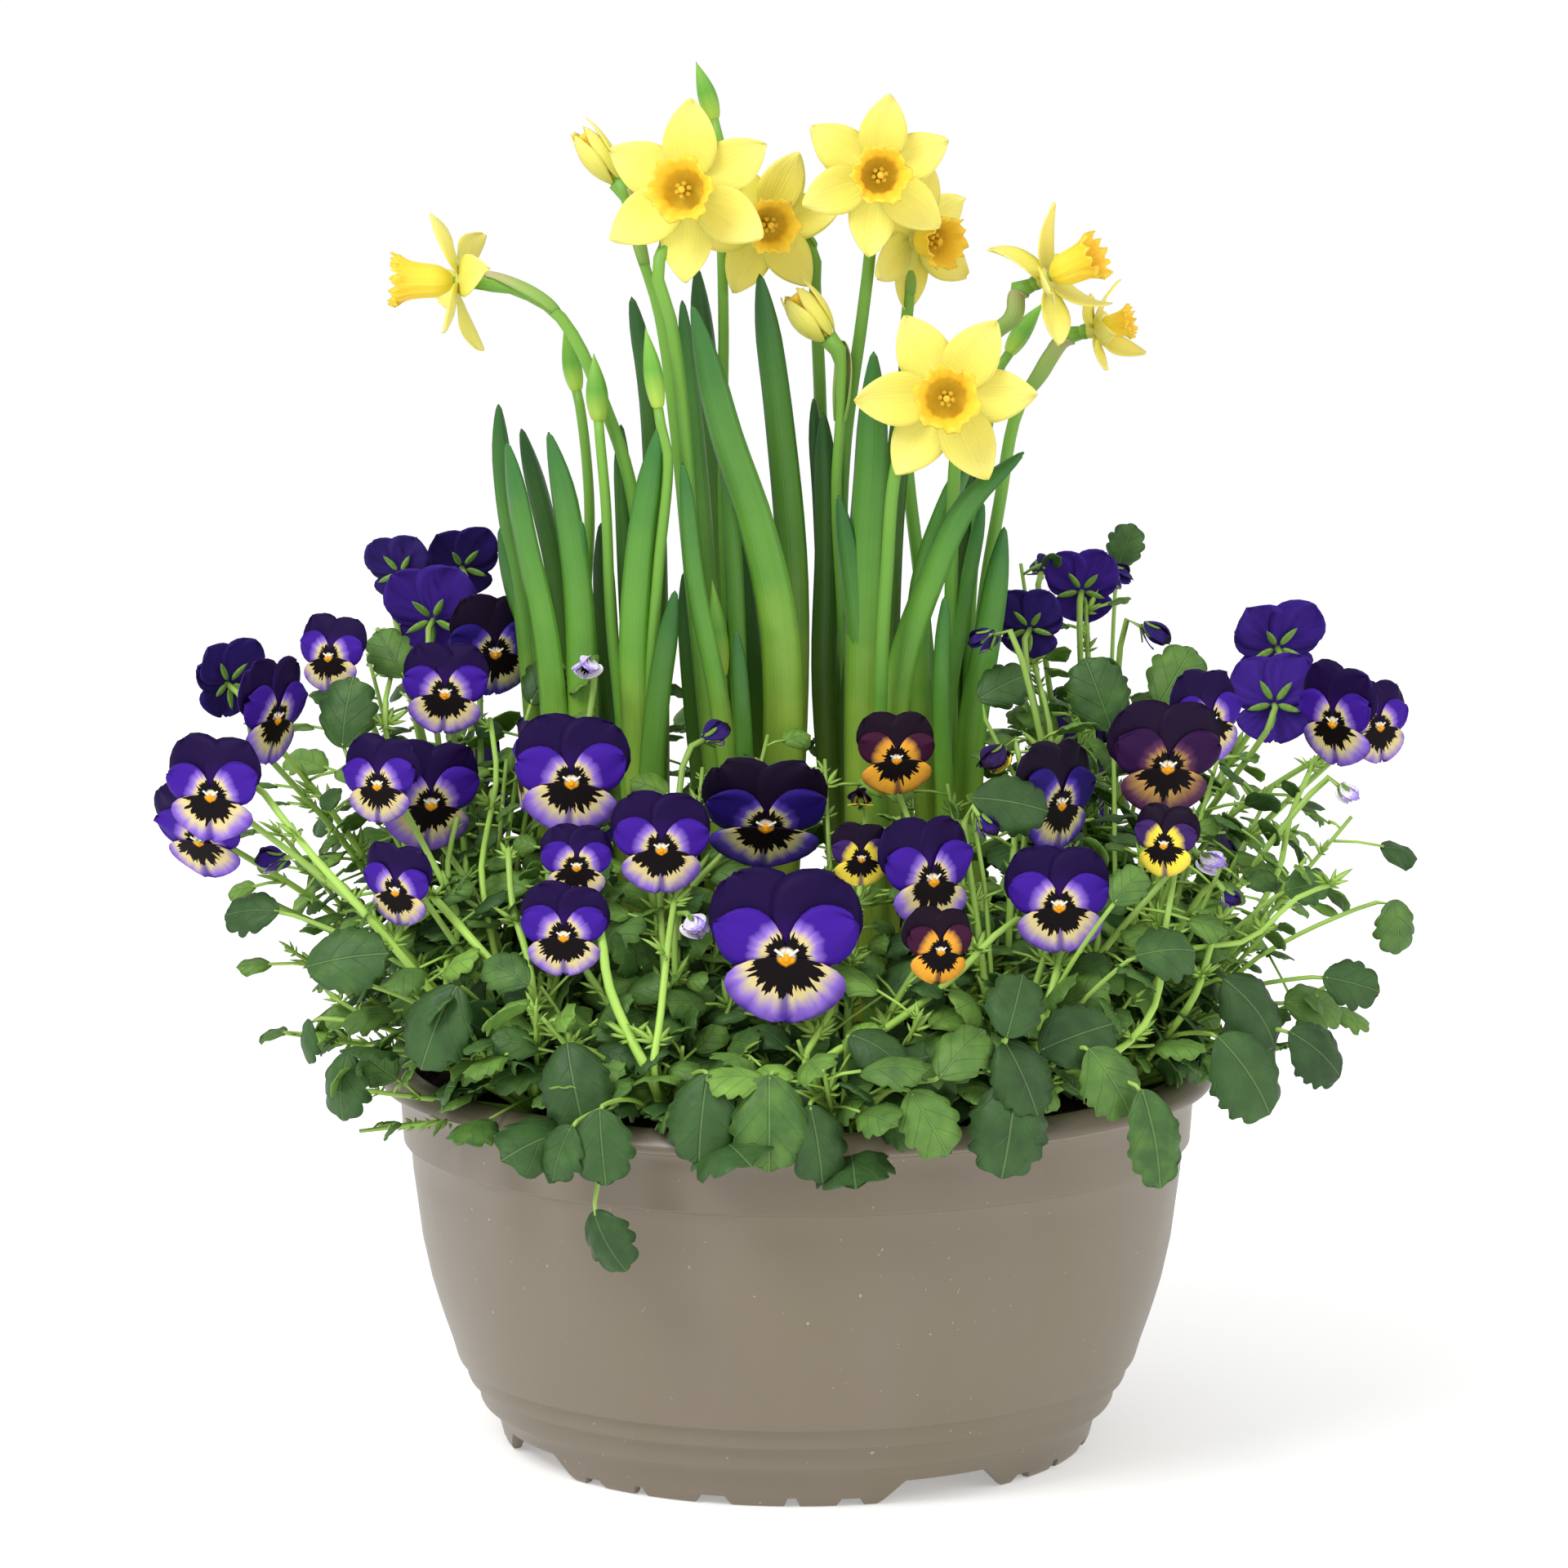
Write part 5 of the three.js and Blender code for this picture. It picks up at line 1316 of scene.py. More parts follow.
@dataclass
class PansyGreens:
    """The pansies' leaves, stalks, shoots and stipules."""

    blooms: list[Bloom]
    plants: dict[str, Plant]
    greens: dict[str, Piece]
    stems: dict[str, Piece]
    stalk_wide: float = 2.25
    petiole_wide: float = 1.7
    shoots: int = 9
    face_reach: float = 0.62
    chance: random.Random = field(default_factory=lambda: random.Random(17))

    def build(self) -> None:
        """Build the greens of every plant."""
        seen = [(bloom.wide, EYE.spot(bloom.centre)) for bloom in self.blooms if abs(bloom.turn) < 100]
        self.faces = np.array([(*at, (self.face_reach * wide * EYE.focal / at[2]) ** 2) for wide, at in seen])
        self.solids = {node: Solid(node) for node in self.plants}
        self.sheet = Pattern(6, 30)
        self.medium = Pattern(4, 15)
        self.small = Pattern(2, 8)
        self.fan = Spray(self.lobes(Pattern(3, 4, rolled=True)))
        self.stem = Pattern(7, 18, rolled=True)
        self.thin = Pattern(4, 4, rolled=True)
        for bloom in self.blooms:
            plant = nearest_plant(self.plants, bloom.centre)
            self.leafy(plant.node, self.stalk(plant, bloom), 0.72, self.chance.uniform(17, 25))
        for across, down, depth, *row in LEAVES:
            centre = EYE.seen((across, down), depth)
            self.packed_leaf(nearest_plant(self.plants, centre), centre, *row)
        draw = draws(11)
        for plant in list(self.plants.values())[5:]:
            self.fill(plant, draw)
        for plant in self.plants.values():
            self.bush(plant)
        self.thick_shoots()
        for across, down, depth, size in SPRIGS:
            tip = EYE.seen((across, down), depth)
            plant = nearest_plant(self.plants, tip)
            start = plant.start(tip, 1)
            middle = (start + tip) / 2 + 0.12 * (tip - start)
            self.shoot(plant.node, Route([start, middle, tip], 8), size, 0.35)

    def stalk(self, plant: Plant, bloom: Bloom) -> Route:
        """Copy the flower stalk, hooked over the back of its bloom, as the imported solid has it.

        Args:
            plant: The plant that it grows from.
            bloom: Its bloom.

        Returns:
            Its route.
        """
        normal = bloom.axes[2]
        sunk = {Form.OWN: -(0.054 * bloom.wide + 0.65), Form.OPEN: 0.75, Form.FOLDED: 2.25}[bloom.form]
        end = bloom.centre + normal * sunk
        neck = end - 6 * normal
        behind = end - 11 * normal - 5 * UP
        routes = []
        for turn, bow in product(range(7), BOWS):
            start = plant.start(end, turn)
            routes.append(Route([start, bowed(start, behind, 0.08, bow), behind, neck, end], 5))
        best = self.solids[plant.node].nearest(routes, 0.2, 0.36, 0.5, 0.72)
        wide = self.stalk_wide * (0.95 + 0.5 * np.clip(0.75 - self.stem.stage, 0, 1))
        self.grown(plant.node, best, wide, 0.9 + 0.1 * math.sin(bloom.wide))
        return best

    def grown(self, node: str, route: Route, wide: Spots | float, age: float = 1.0) -> None:
        """Copy a stem along a route into a plant's stems."""
        self.stems[node].copies.append(tube(self.stem, route, wide, age=age))

    def blade(
        self, node: str, pattern: Pattern, centre: Spots, axes: Spots, long: float, age: float,
        broad: float, swell: float, teeth: float,
    ) -> None:
        """Copy one leaf blade into a plant's greens.

        Args:
            node: The plant's node.
            pattern: The flat primitive.
            centre: Middle of the blade.
            axes: Its side, top and normal.
            long: Its length.
            age: 0 for an old dark leaf, 1 for a young bright one.
            broad: Half of its width as a share of its length.
            swell: Above 1 where it is widest near its tip.
            teeth: Rounded teeth on a side.
        """
        u = pattern.u
        out = np.abs(u)
        share = 0.45 * pattern.v + 0.55 * (1 - np.cos(np.pi * pattern.v)) / 2
        full = np.sin(np.pi * np.clip(share, 0, 1) ** swell) ** 0.5
        tooth = np.abs(np.sin(np.pi * teeth * share + 0.4)) ** 0.55
        bite = (tooth - 0.75) * u ** 4 * np.clip(share * 4 - 0.4, 0, 1)
        x = long * u * broad * full * (1 + 0.26 * bite)
        y = long * (share - 0.5 + 0.06 * bite * (share > 0.7))
        own = math.sin(37.0 * centre[0] + 11.0 * centre[2])
        z = 0.1 * long - (1.2 * x * x + 0.5 * y * y) / long - 0.12 * y
        z = z + (0.06 + 0.1 * own) * np.abs(x) - (0.05 - 0.07 * own) * long * share ** 3
        z = z + 0.03 * long * np.sin(13 * (share - 0.5 * out) + 3 * own) * out * full
        z = z - 0.03 * long * np.exp(-(u * 4) ** 2) * full
        chart = np.stack([x / long + 0.5, share], axis=1)
        spots = centre + np.stack([x, y, z], axis=1) @ axes
        self.greens[node].copies.append(pattern.copy(spots, chart, age=age))

    def packed_leaf(
        self, plant: Plant, centre: Spots, long: float, lean: float, turn: float, tilt: float,
        narrow: bool = False, strict: float = math.inf,
    ) -> None:
        """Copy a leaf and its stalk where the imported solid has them.

        Args:
            plant: The plant that it grows from.
            centre: Middle of the blade before it was shifted along its face.
            long: Its length.
            lean: Degrees that its tip leans clockwise.
            turn: Degrees that it faces to the right.
            tilt: Degrees that it faces up.
            narrow: Whether it is a narrow one.
            strict: Leave the leaf out where no blade of the solid lies within this distance.
        """
        axes = facing(turn, tilt, lean)
        y = long * np.array([-0.5, -0.4, -0.1, 0.2, 0.42])
        spots = np.stack([0 * y, y, 0.1 * long - 0.5 * y * y / long - 0.12 * y], axis=1) @ axes
        solid = self.solids[plant.node]
        shifts = [centre + axes[2] * shift for shift in (0, 5, -5, 10, -10, 16)]
        middle = min(shifts, key=lambda place: solid.gap(place + spots[1:]))
        if solid.gap(middle + spots[1:]) > strict:
            return
        age = self.chance.uniform(0.08, 0.5)
        broad, teeth = 0.27 if narrow else 0.4, 6.0 if long > 24 else 4.0
        self.blade(plant.node, self.sheet, middle, axes, long, age, broad, 1.08, teeth)
        self.petiole(plant, middle + spots[0], axes[1])

    def petiole(self, plant: Plant, base: Spots, top: Spots) -> None:
        """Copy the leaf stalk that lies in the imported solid.

        Args:
            plant: The plant that it grows from.
            base: Where the blade starts.
            top: The blade's own upward way.
        """
        out = math.hypot(base[0], base[1])
        hanging = out > 126 and base[2] < 135.5
        routes = []
        for turn, bow in product(range(7), BOWS[:9]):
            start = plant.start(base, turn)
            over = [bowed(start, base, 0.12, bow)]
            if hanging:
                lift = 0.4 * abs(bow[1])
                over = [np.array([*(base[:2] * reach / out), height + lift]) for reach, height in OVER_RIM]
            routes.append(Route([start, *over, base, base + 1.5 * top], 5))
        best = self.solids[plant.node].nearest(routes, 0.2, 0.36, 0.55, 0.7)
        self.grown(plant.node, best, self.petiole_wide * (1.15 - 0.3 * self.stem.stage))

    def free_leaf(self, node: str, start: Spots, way: Spots, long: float, age: float, petiole: float) -> None:
        """Copy a leaf on a short stalk, unless it would stand in something's way.

        Args:
            node: Its plant's node.
            start: Where its stalk leaves the shoot.
            way: The way that it points.
            long: Its length.
            age: Its age.
            petiole: Length of its stalk.
        """
        top = unit(way)
        roll = self.chance.uniform(-0.6, 0.6)
        axes = self.lying(top, UP + 1.1 * unit(start * LEVEL) + roll * np.cross(top, UP))
        base = start + top * petiole
        centre = base + top * long / 2 - axes[2] * 0.1 * long
        tips = [centre, base + top * long, centre + axes[0] * 0.4 * long, centre - axes[0] * 0.4 * long]
        if self.veils(tips) or any(map(blocked, tips)):
            return
        pattern, teeth = (self.medium, 4.0) if long > 15 else (self.small, 2.0)
        broad, swell = self.chance.uniform(0.34, 0.45), self.chance.uniform(0.95, 1.35)
        self.blade(node, pattern, centre, axes, long, age, broad, swell, teeth)
        route = Route([start, start + top * petiole * 0.5 + UP * 0.6, base + top], 4)
        self.stems[node].copies.append(tube(self.thin, route, 1.1))

    def lying(self, top: Spots, lifted: Spots) -> Spots:
        """Give the axes of a sheet whose top points one way and whose face is turned to another."""
        normal = unit(lifted - top * float(lifted @ top))
        return np.array([np.cross(top, normal), top, normal])

    def stipule(self, node: str, place: Spots, way: Spots, long: float) -> None:
        """Copy one feathery stipule, unless it would stand before a face.

        Args:
            node: Its plant's node.
            place: The joint that it stands at.
            way: The way that its longest lobe points.
            long: Length of the longest lobe.
        """
        top = unit(way)
        if not self.veils([place, place + 0.7 * long * top]):
            spots = place + long * self.fan.shape @ self.lying(top, UP + np.array([0.0, -0.6, 0.0]))
            self.stems[node].copies.append(self.fan.copy(spots, age=self.chance.uniform(0.75, 1.0)))

    def lobes(self, lobe: Pattern) -> list[Thing]:
        """Shape the narrow lobes of a stipule: a fan of shorter ones round a longer one.

        Args:
            lobe: The rolled primitive.

        Returns:
            The copies, in shares of the stipule's length.
        """
        fan = []
        broad = 0.15 * np.sin(np.pi * lobe.v ** 0.7) ** 0.8
        rows = ((0, 0, 1.0), (0.1, 38, 0.62), (0.1, -38, 0.62), (0, 66, 0.45), (0, -66, 0.45))
        for along, swing, share in rows:
            rise = 0.35 * lobe.round[:, 1] * broad + 0.12 * lobe.v - 0.25 * share * lobe.v ** 2
            spots = share * swung(lobe.round[:, 0] * broad, lobe.v, rise, math.radians(swing))
            fan.append(lobe.copy(spots + np.array([0.0, along, 0.0])))
        return fan

    def tucked(self, spot: Spot, depth: float) -> Spots:
        """Give the place at a seen spot, moved back until no face stands behind it.

        Args:
            spot: The seen spot.
            depth: The y that it would have.

        Returns:
            The place.
        """
        place = EYE.seen(spot, depth)
        while self.veils([place]):
            depth += 5
            place = EYE.seen(spot, depth)
        return place

    def veils(self, places: Sequence[Spots]) -> bool:
        """Tell whether something at any of the places would stand before a bloom in the photograph.

        Args:
            places: The places.

        Returns:
            Whether it would.
        """
        for place in places:
            across, down, far = EYE.spot(place)
            apart = (self.faces[:, 0] - across) ** 2 + (self.faces[:, 1] - down) ** 2
            if np.any((far < self.faces[:, 2] + 4) & (apart < self.faces[:, 3])):
                return True
        return False

    def leafy(self, node: str, route: Route, upto: float, size: float, first: float = 0.08) -> None:
        """Copy leaves and stipules along a shoot, smaller and younger towards its end.

        Args:
            node: Its plant's node.
            route: The shoot's route.
            upto: Stage at which its leaves end.
            size: Length of its largest leaves.
            first: Stage at which its leaves start.
        """
        chance = self.chance
        joints = max(4, int((upto - first) * route.length / 5.6))
        turn = chance.uniform(0, 6.28)
        for k in range(joints):
            stage = first + (upto - first) * (k + chance.uniform(0, 0.6)) / joints
            place = route.at(stage)[0]
            along = route.along(stage)[0]
            turn += 2.4
            aside = heading(turn)
            way = unit(aside - along * float(aside @ along) * 0.7 + chance.uniform(0, 0.5) * UP)
            long = size * chance.uniform(0.6, 1.15) * (1.0 - 0.4 * stage / upto)
            age = 0.1 + 0.35 * chance.random() + 0.5 * (stage / upto) * chance.random()
            self.free_leaf(node, place, way, long, age, chance.uniform(0.3, 1.3) * long)
            if chance.random() < 0.45:
                self.stipule(node, place, unit(0.6 * way + along), chance.uniform(6, 12))

    def shoot(self, node: str, route: Route, size: float, first: float = 0.08) -> None:
        """Copy a leafy shoot with stipules at its joints.

        Args:
            node: Its plant's node.
            route: The shoot's route.
            size: Length of its largest leaves.
            first: Stage at which its leaves start.
        """
        if not self.veils(route.at(np.array([0.8, 1.0]))):
            self.grown(node, route, 2.6 - 1.3 * self.stem.stage, self.chance.uniform(0.8, 1.05))
            self.leafy(node, route, 1.0, size, first)

    def bush(self, plant: Plant) -> None:
        """Copy the leafy shoots that make a plant bushy, more of them at the back.

        Args:
            plant: The plant.
        """
        home = math.atan2(plant.at[1], plant.at[0])
        count = self.shoots + (4 if plant.at[1] > 20 else 0)
        for k in range(count):
            out = heading(home + math.radians(360 / count) * k + self.chance.uniform(-0.3, 0.3))
            reach = self.chance.uniform(16, 44)
            rise = self.chance.uniform(18, 62 if plant.at[1] > -60 else 46)
            start = plant.top(3)
            tip = start + out * reach + UP * rise
            route = Route([start, (start + tip) / 2 + out * 0.12 * reach, tip], 8)
            self.shoot(plant.node, route, self.chance.uniform(20, 30))

    def thick_shoots(self) -> None:
        """Copy the thick pale shoots in front, with stipules round their joints."""
        for spots, foot, tip, wide in SHOOTS:
            depths = np.linspace(foot, tip, len(spots))
            places = [EYE.seen(spot, depth) for spot, depth in zip(spots[:2], depths)]
            places += [self.tucked(spot, depth) for spot, depth in zip(spots[2:], depths[2:])]
            plant = nearest_plant(self.plants, places[0])
            route = Route([plant.start(places[0], 1), *places], 8)
            self.grown(plant.node, route, wide * (1.1 - 0.35 * self.stem.stage), 1.12)
            for stage in np.repeat([0.45, 0.75, 0.97], 3):
                way = heading(self.chance.uniform(0, 6.28)) + 0.8 * UP
                self.stipule(plant.node, route.at(stage)[0], way, self.chance.uniform(7, 12))

    def fill(self, plant: Plant, draw: Iterable[float]) -> None:
        """Copy the leaves that fill a plant at the back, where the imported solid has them.

        Args:
            plant: The plant.
            draw: Source of their places.
        """
        home = math.degrees(math.atan2(plant.at[1], plant.at[0]))
        for k in range(6):
            angle = home + (k - 2.5) * 30 + 14 * (next(draw) - 0.5)
            reach = 46 * (0.45 + 0.55 * next(draw))
            centre = plant.top(16 + 34 * next(draw)) + heading(math.radians(angle)) * reach
            long = 21 * (0.75 + 0.4 * next(draw))
            lean = 180 + 50 * (next(draw) - 0.5)
            tilt = 35 + 30 * next(draw)
            self.packed_leaf(plant, centre, long, lean, angle + 90, tilt, strict=2.5)


@dataclass(frozen=True)
class Clump:
    """A clump of daffodil bulbs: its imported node, its place and its radius."""

    node: str
    at: Spot
    radius: float

    def route_down(self, spots: Sequence[Spot], depth: float) -> list[Spots]:
        """Give the places of a stem from its foot in the clump up to the first of its seen spots.

        Args:
            spots: Seen spots from the top down.
            depth: Their y.

        Returns:
            The places from the foot up.
        """
        root = np.array([*self.at, soil_height(*self.at) + 2])
        way = (EYE.seen(spots[-1], depth) - root) * LEVEL
        spread = min(1.0, 0.62 * self.radius / max(float(np.linalg.norm(way)), 1e-6))
        return [root + way * spread, *(EYE.seen(spot, depth) for spot in reversed(spots))]


# How far behind or before its own depth a stem may lie in its packed clump
DEPTH_SHIFTS = (0, 4, -4, 8, -8, 12, -12, 18, -18, 26)
STEM_STAGES = (0.3, 0.5, 0.68, 0.8)


@dataclass
class Daffodils:
    """The dwarf daffodils: flowers, buds, stems and strap leaves."""

    petal: Finish
    trumpet: Finish
    green: Finish
    leaf: Finish
    papery: Finish
    tepal_thick: float = 0.45
    trumpet_thick: float = 0.6
    strap_thick: float = 1.3
    sheath_thick: float = 0.3
    tube_long: float = 5.0
    forward: float = 1.1
    chance: random.Random = field(default_factory=lambda: random.Random(5))

    def build(self) -> None:
        """Build every clump with its flowers, buds and leaves."""
        self.clumps = [Clump(f"daffodil_clump_{name}", at, radius) for name, at, radius in CLUMPS]
        self.solids = [Solid(clump.node) for clump in self.clumps]
        self.sheet = Pattern(8, 16)
        self.cup = Pattern(48, 14, rolled=True, closed=False)
        self.stem = Pattern(10, 46, rolled=True)
        self.bud = Pattern(12, 12, rolled=True)
        self.strap = Pattern(6, 26)
        kinds = (("stems", self.green, 0.0), ("leaves", self.leaf, self.strap_thick),
                 ("sheaths", self.papery, self.sheath_thick))
        self.stems, self.leaves, self.sheaths = (
            [Piece(f"{clump.node}_{kind}", clump.node, "daffodil_green", *dress) for clump in self.clumps]
            for kind, *dress in kinds
        )
        for k, row in enumerate(FLOWERS):
            self.flower(k + 1, row)
        half_open = 0
        for row in BUDS:
            half_open += row[5]
            self.budded(half_open, row)
        for row in STRAPS:
            self.strap_leaf(*row)
        for k, clump in enumerate(self.clumps):
            self.necks(k, clump)
        for piece in (*self.stems, *self.leaves, *self.sheaths):
            piece.close()

    def grown(self, clump: int, pattern: Pattern, route: Route, wide: Spots, age: float) -> None:
        """Copy a stem along a route into a clump's stems."""
        self.stems[clump].copies.append(tube(pattern, route, wide, age=age))

    def flower(self, number: int, row: Sequence) -> None:
        """Build one open flower with its stem.

        Args:
            number: The flower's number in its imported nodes' names.
            row: The flower's row in the table.
        """
        at, depth, across, turn, tilt, lean, long, clump, closing, stem = row
        centre = EYE.seen(at, depth)
        axes = facing(turn, tilt, lean)
        names = (f"daffodil_petals_{number}", "daffodil_petal", self.petal)
        petals = Piece(f"daffodil_{number}_tepals", *names, self.tepal_thick)
        loose = 0.34 if abs(turn) > 60 else 0.08
        petals.copies = [self.tepal(k, centre, axes, across / 2, closing, loose) for k in range(6)]
        petals.close()
        route = Route([centre - self.tube_long * axes[2], centre + 0.6 * axes[2]], 4)
        throat = tube(self.bud, route, 4.6 + 3.4 * self.bud.stage ** 2, age=0.85)
        Piece(f"daffodil_{number}_tube", *names, copies=[throat]).close()
        self.corona(number, centre, axes, across, long)
        neck = centre - (self.tube_long + 0.3) * axes[2]
        best = self.solids[clump].nearest([
            Route([*self.clumps[clump].route_down(stem, depth + shift), neck - 7 * axes[2], neck], 10)
            for shift in DEPTH_SHIFTS
        ], *STEM_STAGES)
        swell = 2.8 * np.exp(-((1 - self.stem.stage) * best.length / 4.0 - 1.3) ** 2)
        girth = 5.6 - 1.6 * self.stem.stage + swell
        self.grown(clump, self.stem, best, girth, self.chance.uniform(0.85, 1.1))
        self.ovary(clump, best.at(0.99)[0], centre + 1.2 * axes[2])
        self.sheath(clump, best)

    def tepal(
        self, k: int, centre: Spots, axes: Spots, reach: float, closing: float, loose: float
    ) -> Thing:
        """Copy one tepal; even ones stand forward of odd ones.

        Args:
            k: Its number, clockwise from the top.
            centre: Where the trumpet meets the petals.
            axes: The flower's side, top and normal.
            reach: From the centre to the tepals' tips.
            closing: How far the tips stand forward, as a share of the reach.
            loose: How far a tip may stray, as a share of the reach.

        Returns:
            The copy.
        """
        u, v = self.sheet.u, self.sheet.v
        chance = self.chance
        share = 0.4 * v + 0.6 * (1 - np.cos(np.pi * v)) / 2
        x = u * 0.3 * reach * share ** 0.62 * (1 - share) ** 0.85 / 0.368
        y = reach * (0.1 + 0.9 * share)
        out = np.maximum(0, np.hypot(x, y) / reach - 0.22)
        side = 1 - 2 * (k % 2)
        z = side * self.forward * np.minimum(1, 4 * out) + closing * reach * out ** 2
        z = z + 0.035 * reach * (u ** 2 - 0.5) * np.sin(np.pi * share)
        z = z - 0.02 * reach * np.exp(-(u * 4) ** 2) * np.sin(np.pi * share)
        z = z + 0.035 * reach * share ** 2 * np.sin(2.5 * u + chance.uniform(0, 6))
        z = z + loose * reach * (chance.uniform(-0.5, 0.5) + 0.7 * side) * share ** 2
        twist = chance.uniform(-2.5, 2.5) * loose * share
        x, z = x * np.cos(twist), z + x * np.sin(twist)
        spots = centre + swung(x, y, z, math.radians(60 * k + chance.uniform(-3, 3))) @ axes
        chart = np.stack([u * 0.5 + 0.5, share], axis=1)
        return self.sheet.copy(spots, chart, age=chance.uniform(0.94, 1.03))

    def corona(self, number: int, centre: Spots, axes: Spots, across: float, long: float) -> None:
        """Build the ribbed trumpet with its frilled lip, stamens and style.

        Args:
            number: The flower's number.
            centre: Where the trumpet meets the petals.
            axes: The flower's side, top and normal.
            across: Tip to tip across the tepals.
            long: The trumpet's length.
        """
        waist = 0.1 * across
        mouth = 0.175 * across
        phase = self.chance.uniform(0, 6)
        angle = np.arctan2(self.cup.round[:, 0], -self.cup.round[:, 1])
        floor = np.sin(np.pi / 2 * np.clip(self.cup.v / 0.45, 0, 1)) ** 0.8
        wall = self.cup.v ** 1.3
        frill = wall ** 5
        lobes = 0.09 * np.cos(6 * angle + phase) + 0.05 * np.cos(17 * angle + 2 * phase)
        lobes = lobes + 0.03 * np.cos(29 * angle - phase)
        ribs = 0.035 * np.cos(12 * angle + phase) * np.sin(np.pi * np.clip(wall, 0, 1)) ** 0.5
        girth = waist * floor * (1 + 0.12 * np.sin(np.pi * wall)) + (mouth - waist) * wall ** 4
        girth = girth * (1 + frill * lobes + ribs * floor)
        z = 1.0 + (long - 1.0) * wall + 0.07 * long * frill * np.cos(12 * angle + 1.7 * phase)
        z = z + 0.03 * long * frill * np.cos(23 * angle)
        x, y = units(self.cup.round).T * girth
        cup = self.cup.copy(centre + np.stack([x, y, z], axis=1) @ axes, age=1.0)
        names = (f"daffodil_trumpet_{number}", "daffodil_trumpet", self.trumpet)
        Piece(f"daffodil_{number}_corona", *names, self.trumpet_thick, [cup]).close()
        style = Route([centre + 1.5 * axes[2], centre + 0.8 * long * axes[2]], 4)
        inside = Piece(f"daffodil_{number}_stamens", *names)
        inside.copies.append(tube(self.bud, style, 1.1 + 1.3 * self.bud.stage ** 8, age=0.9))
        for k in range(6):
            aside = heading(math.radians(60 * k + 20)) @ axes
            foot = centre + 1.6 * axes[2] + 1.2 * aside
            head = centre + 0.42 * long * axes[2] + 1.9 * aside
            anther = centre + 0.66 * long * axes[2] + 2.1 * aside
            inside.copies.append(tube(self.bud, Route([foot, head], 4), 0.7, age=0.9))
            inside.copies.append(tube(self.bud, Route([head, anther], 4), 1.5, age=0.8))
        inside.close()

    def ovary(self, clump: int, start: Spots, end: Spots) -> None:
        """Copy the green swelling that carries a flower, with the slim tube above it."""
        girth = 3.4 + 2.0 * np.sin(np.pi * np.minimum(1, self.bud.stage * 1.25)) ** 2
        self.grown(clump, self.bud, Route([start, end], 6), girth, 1.12)

    def sheath(self, clump: int, route: Route) -> None:
        """Copy the papery spathe that wraps the neck below a flower.

        Args:
            clump: Number of its clump.
            route: The flower stem's route.
        """
        v = self.strap.v
        rough = np.array([math.cos(self.chance.uniform(0, 6)), -0.6, 0.0])
        wrap = self.strap.u * 2.1 * (1 - 0.55 * v)
        girth = 1.85 + 1.3 * np.sin(np.pi * v) ** 0.8 + 1.6 * v ** 3
        stages = 1 - (30 - 27 * v) / route.length
        spots = route.swept(stages, rough, girth * np.sin(wrap), girth * np.cos(wrap))
        self.sheaths[clump].copies.append(self.strap.copy(spots, age=self.chance.uniform(0.8, 1.0)))

    def budded(self, number: int, row: Sequence) -> None:
        """Build one bud with its stem.

        Args:
            number: Number of half-open buds up to this one.
            row: The bud's row in the table.
        """
        tip_at, base_at, depth, wide, clump, yellow, stem = row
        routes = {}
        for shift in (0,) if yellow else DEPTH_SHIFTS:
            tip, base = EYE.seen(tip_at, depth + shift), EYE.seen(base_at, depth + shift)
            points = [*self.clumps[clump].route_down(stem, depth + shift), base + (base - tip) * 0.25, base]
            routes[Route(points, 10)] = tip, base
        route = self.solids[clump].nearest(routes, 0.3, 0.5, 0.7)
        tip, base = routes[route]
        swell = 3.6 * np.exp(-((1 - self.stem.stage) * route.length / 6.0 - 0.3) ** 2) if yellow else 0.0
        girth = 4.8 - 1.4 * self.stem.stage + swell
        self.grown(clump, self.stem, route, girth, self.chance.uniform(0.9, 1.15))
        way = unit(tip - base)
        if yellow:
            self.ovary(clump, base - 4.0 * way, base + 3.0 * way)
            self.half_open(number, base, tip, wide)
            self.sheath(clump, route)
        else:
            self.green_bud(clump, base - 1.5 * way, tip, wide)

    def green_bud(self, clump: int, start: Spots, tip: Spots, wide: float) -> None:
        """Copy a closed bud: a ribbed, slightly bulged spindle that grows out of its stem.

        Args:
            clump: Number of its clump.
            start: Where it starts, inside the stem.
            tip: Its tip.
            wide: Its width.
        """
        v = self.bud.v
        swell = np.sin(np.pi * np.minimum(1, 0.05 + 0.99 * v) ** 0.85)
        girth = wide * (0.2 + 0.8 * swell - 0.14 * v)
        bulged = Route([start, (start + tip) / 2 + 0.04 * math.dist(start, tip) * UP, tip], 8)
        out, through = self.bud.round.T * girth * (1 + 0.05 * np.cos(6 * np.arctan2(*self.bud.round.T)))
        spots = bulged.swept(v, np.array([1.0, 0.3, 0.0]), out / 2, through / 2.6)
        self.stems[clump].copies.append(self.bud.copy(spots, age=self.chance.uniform(1.15, 1.35)))

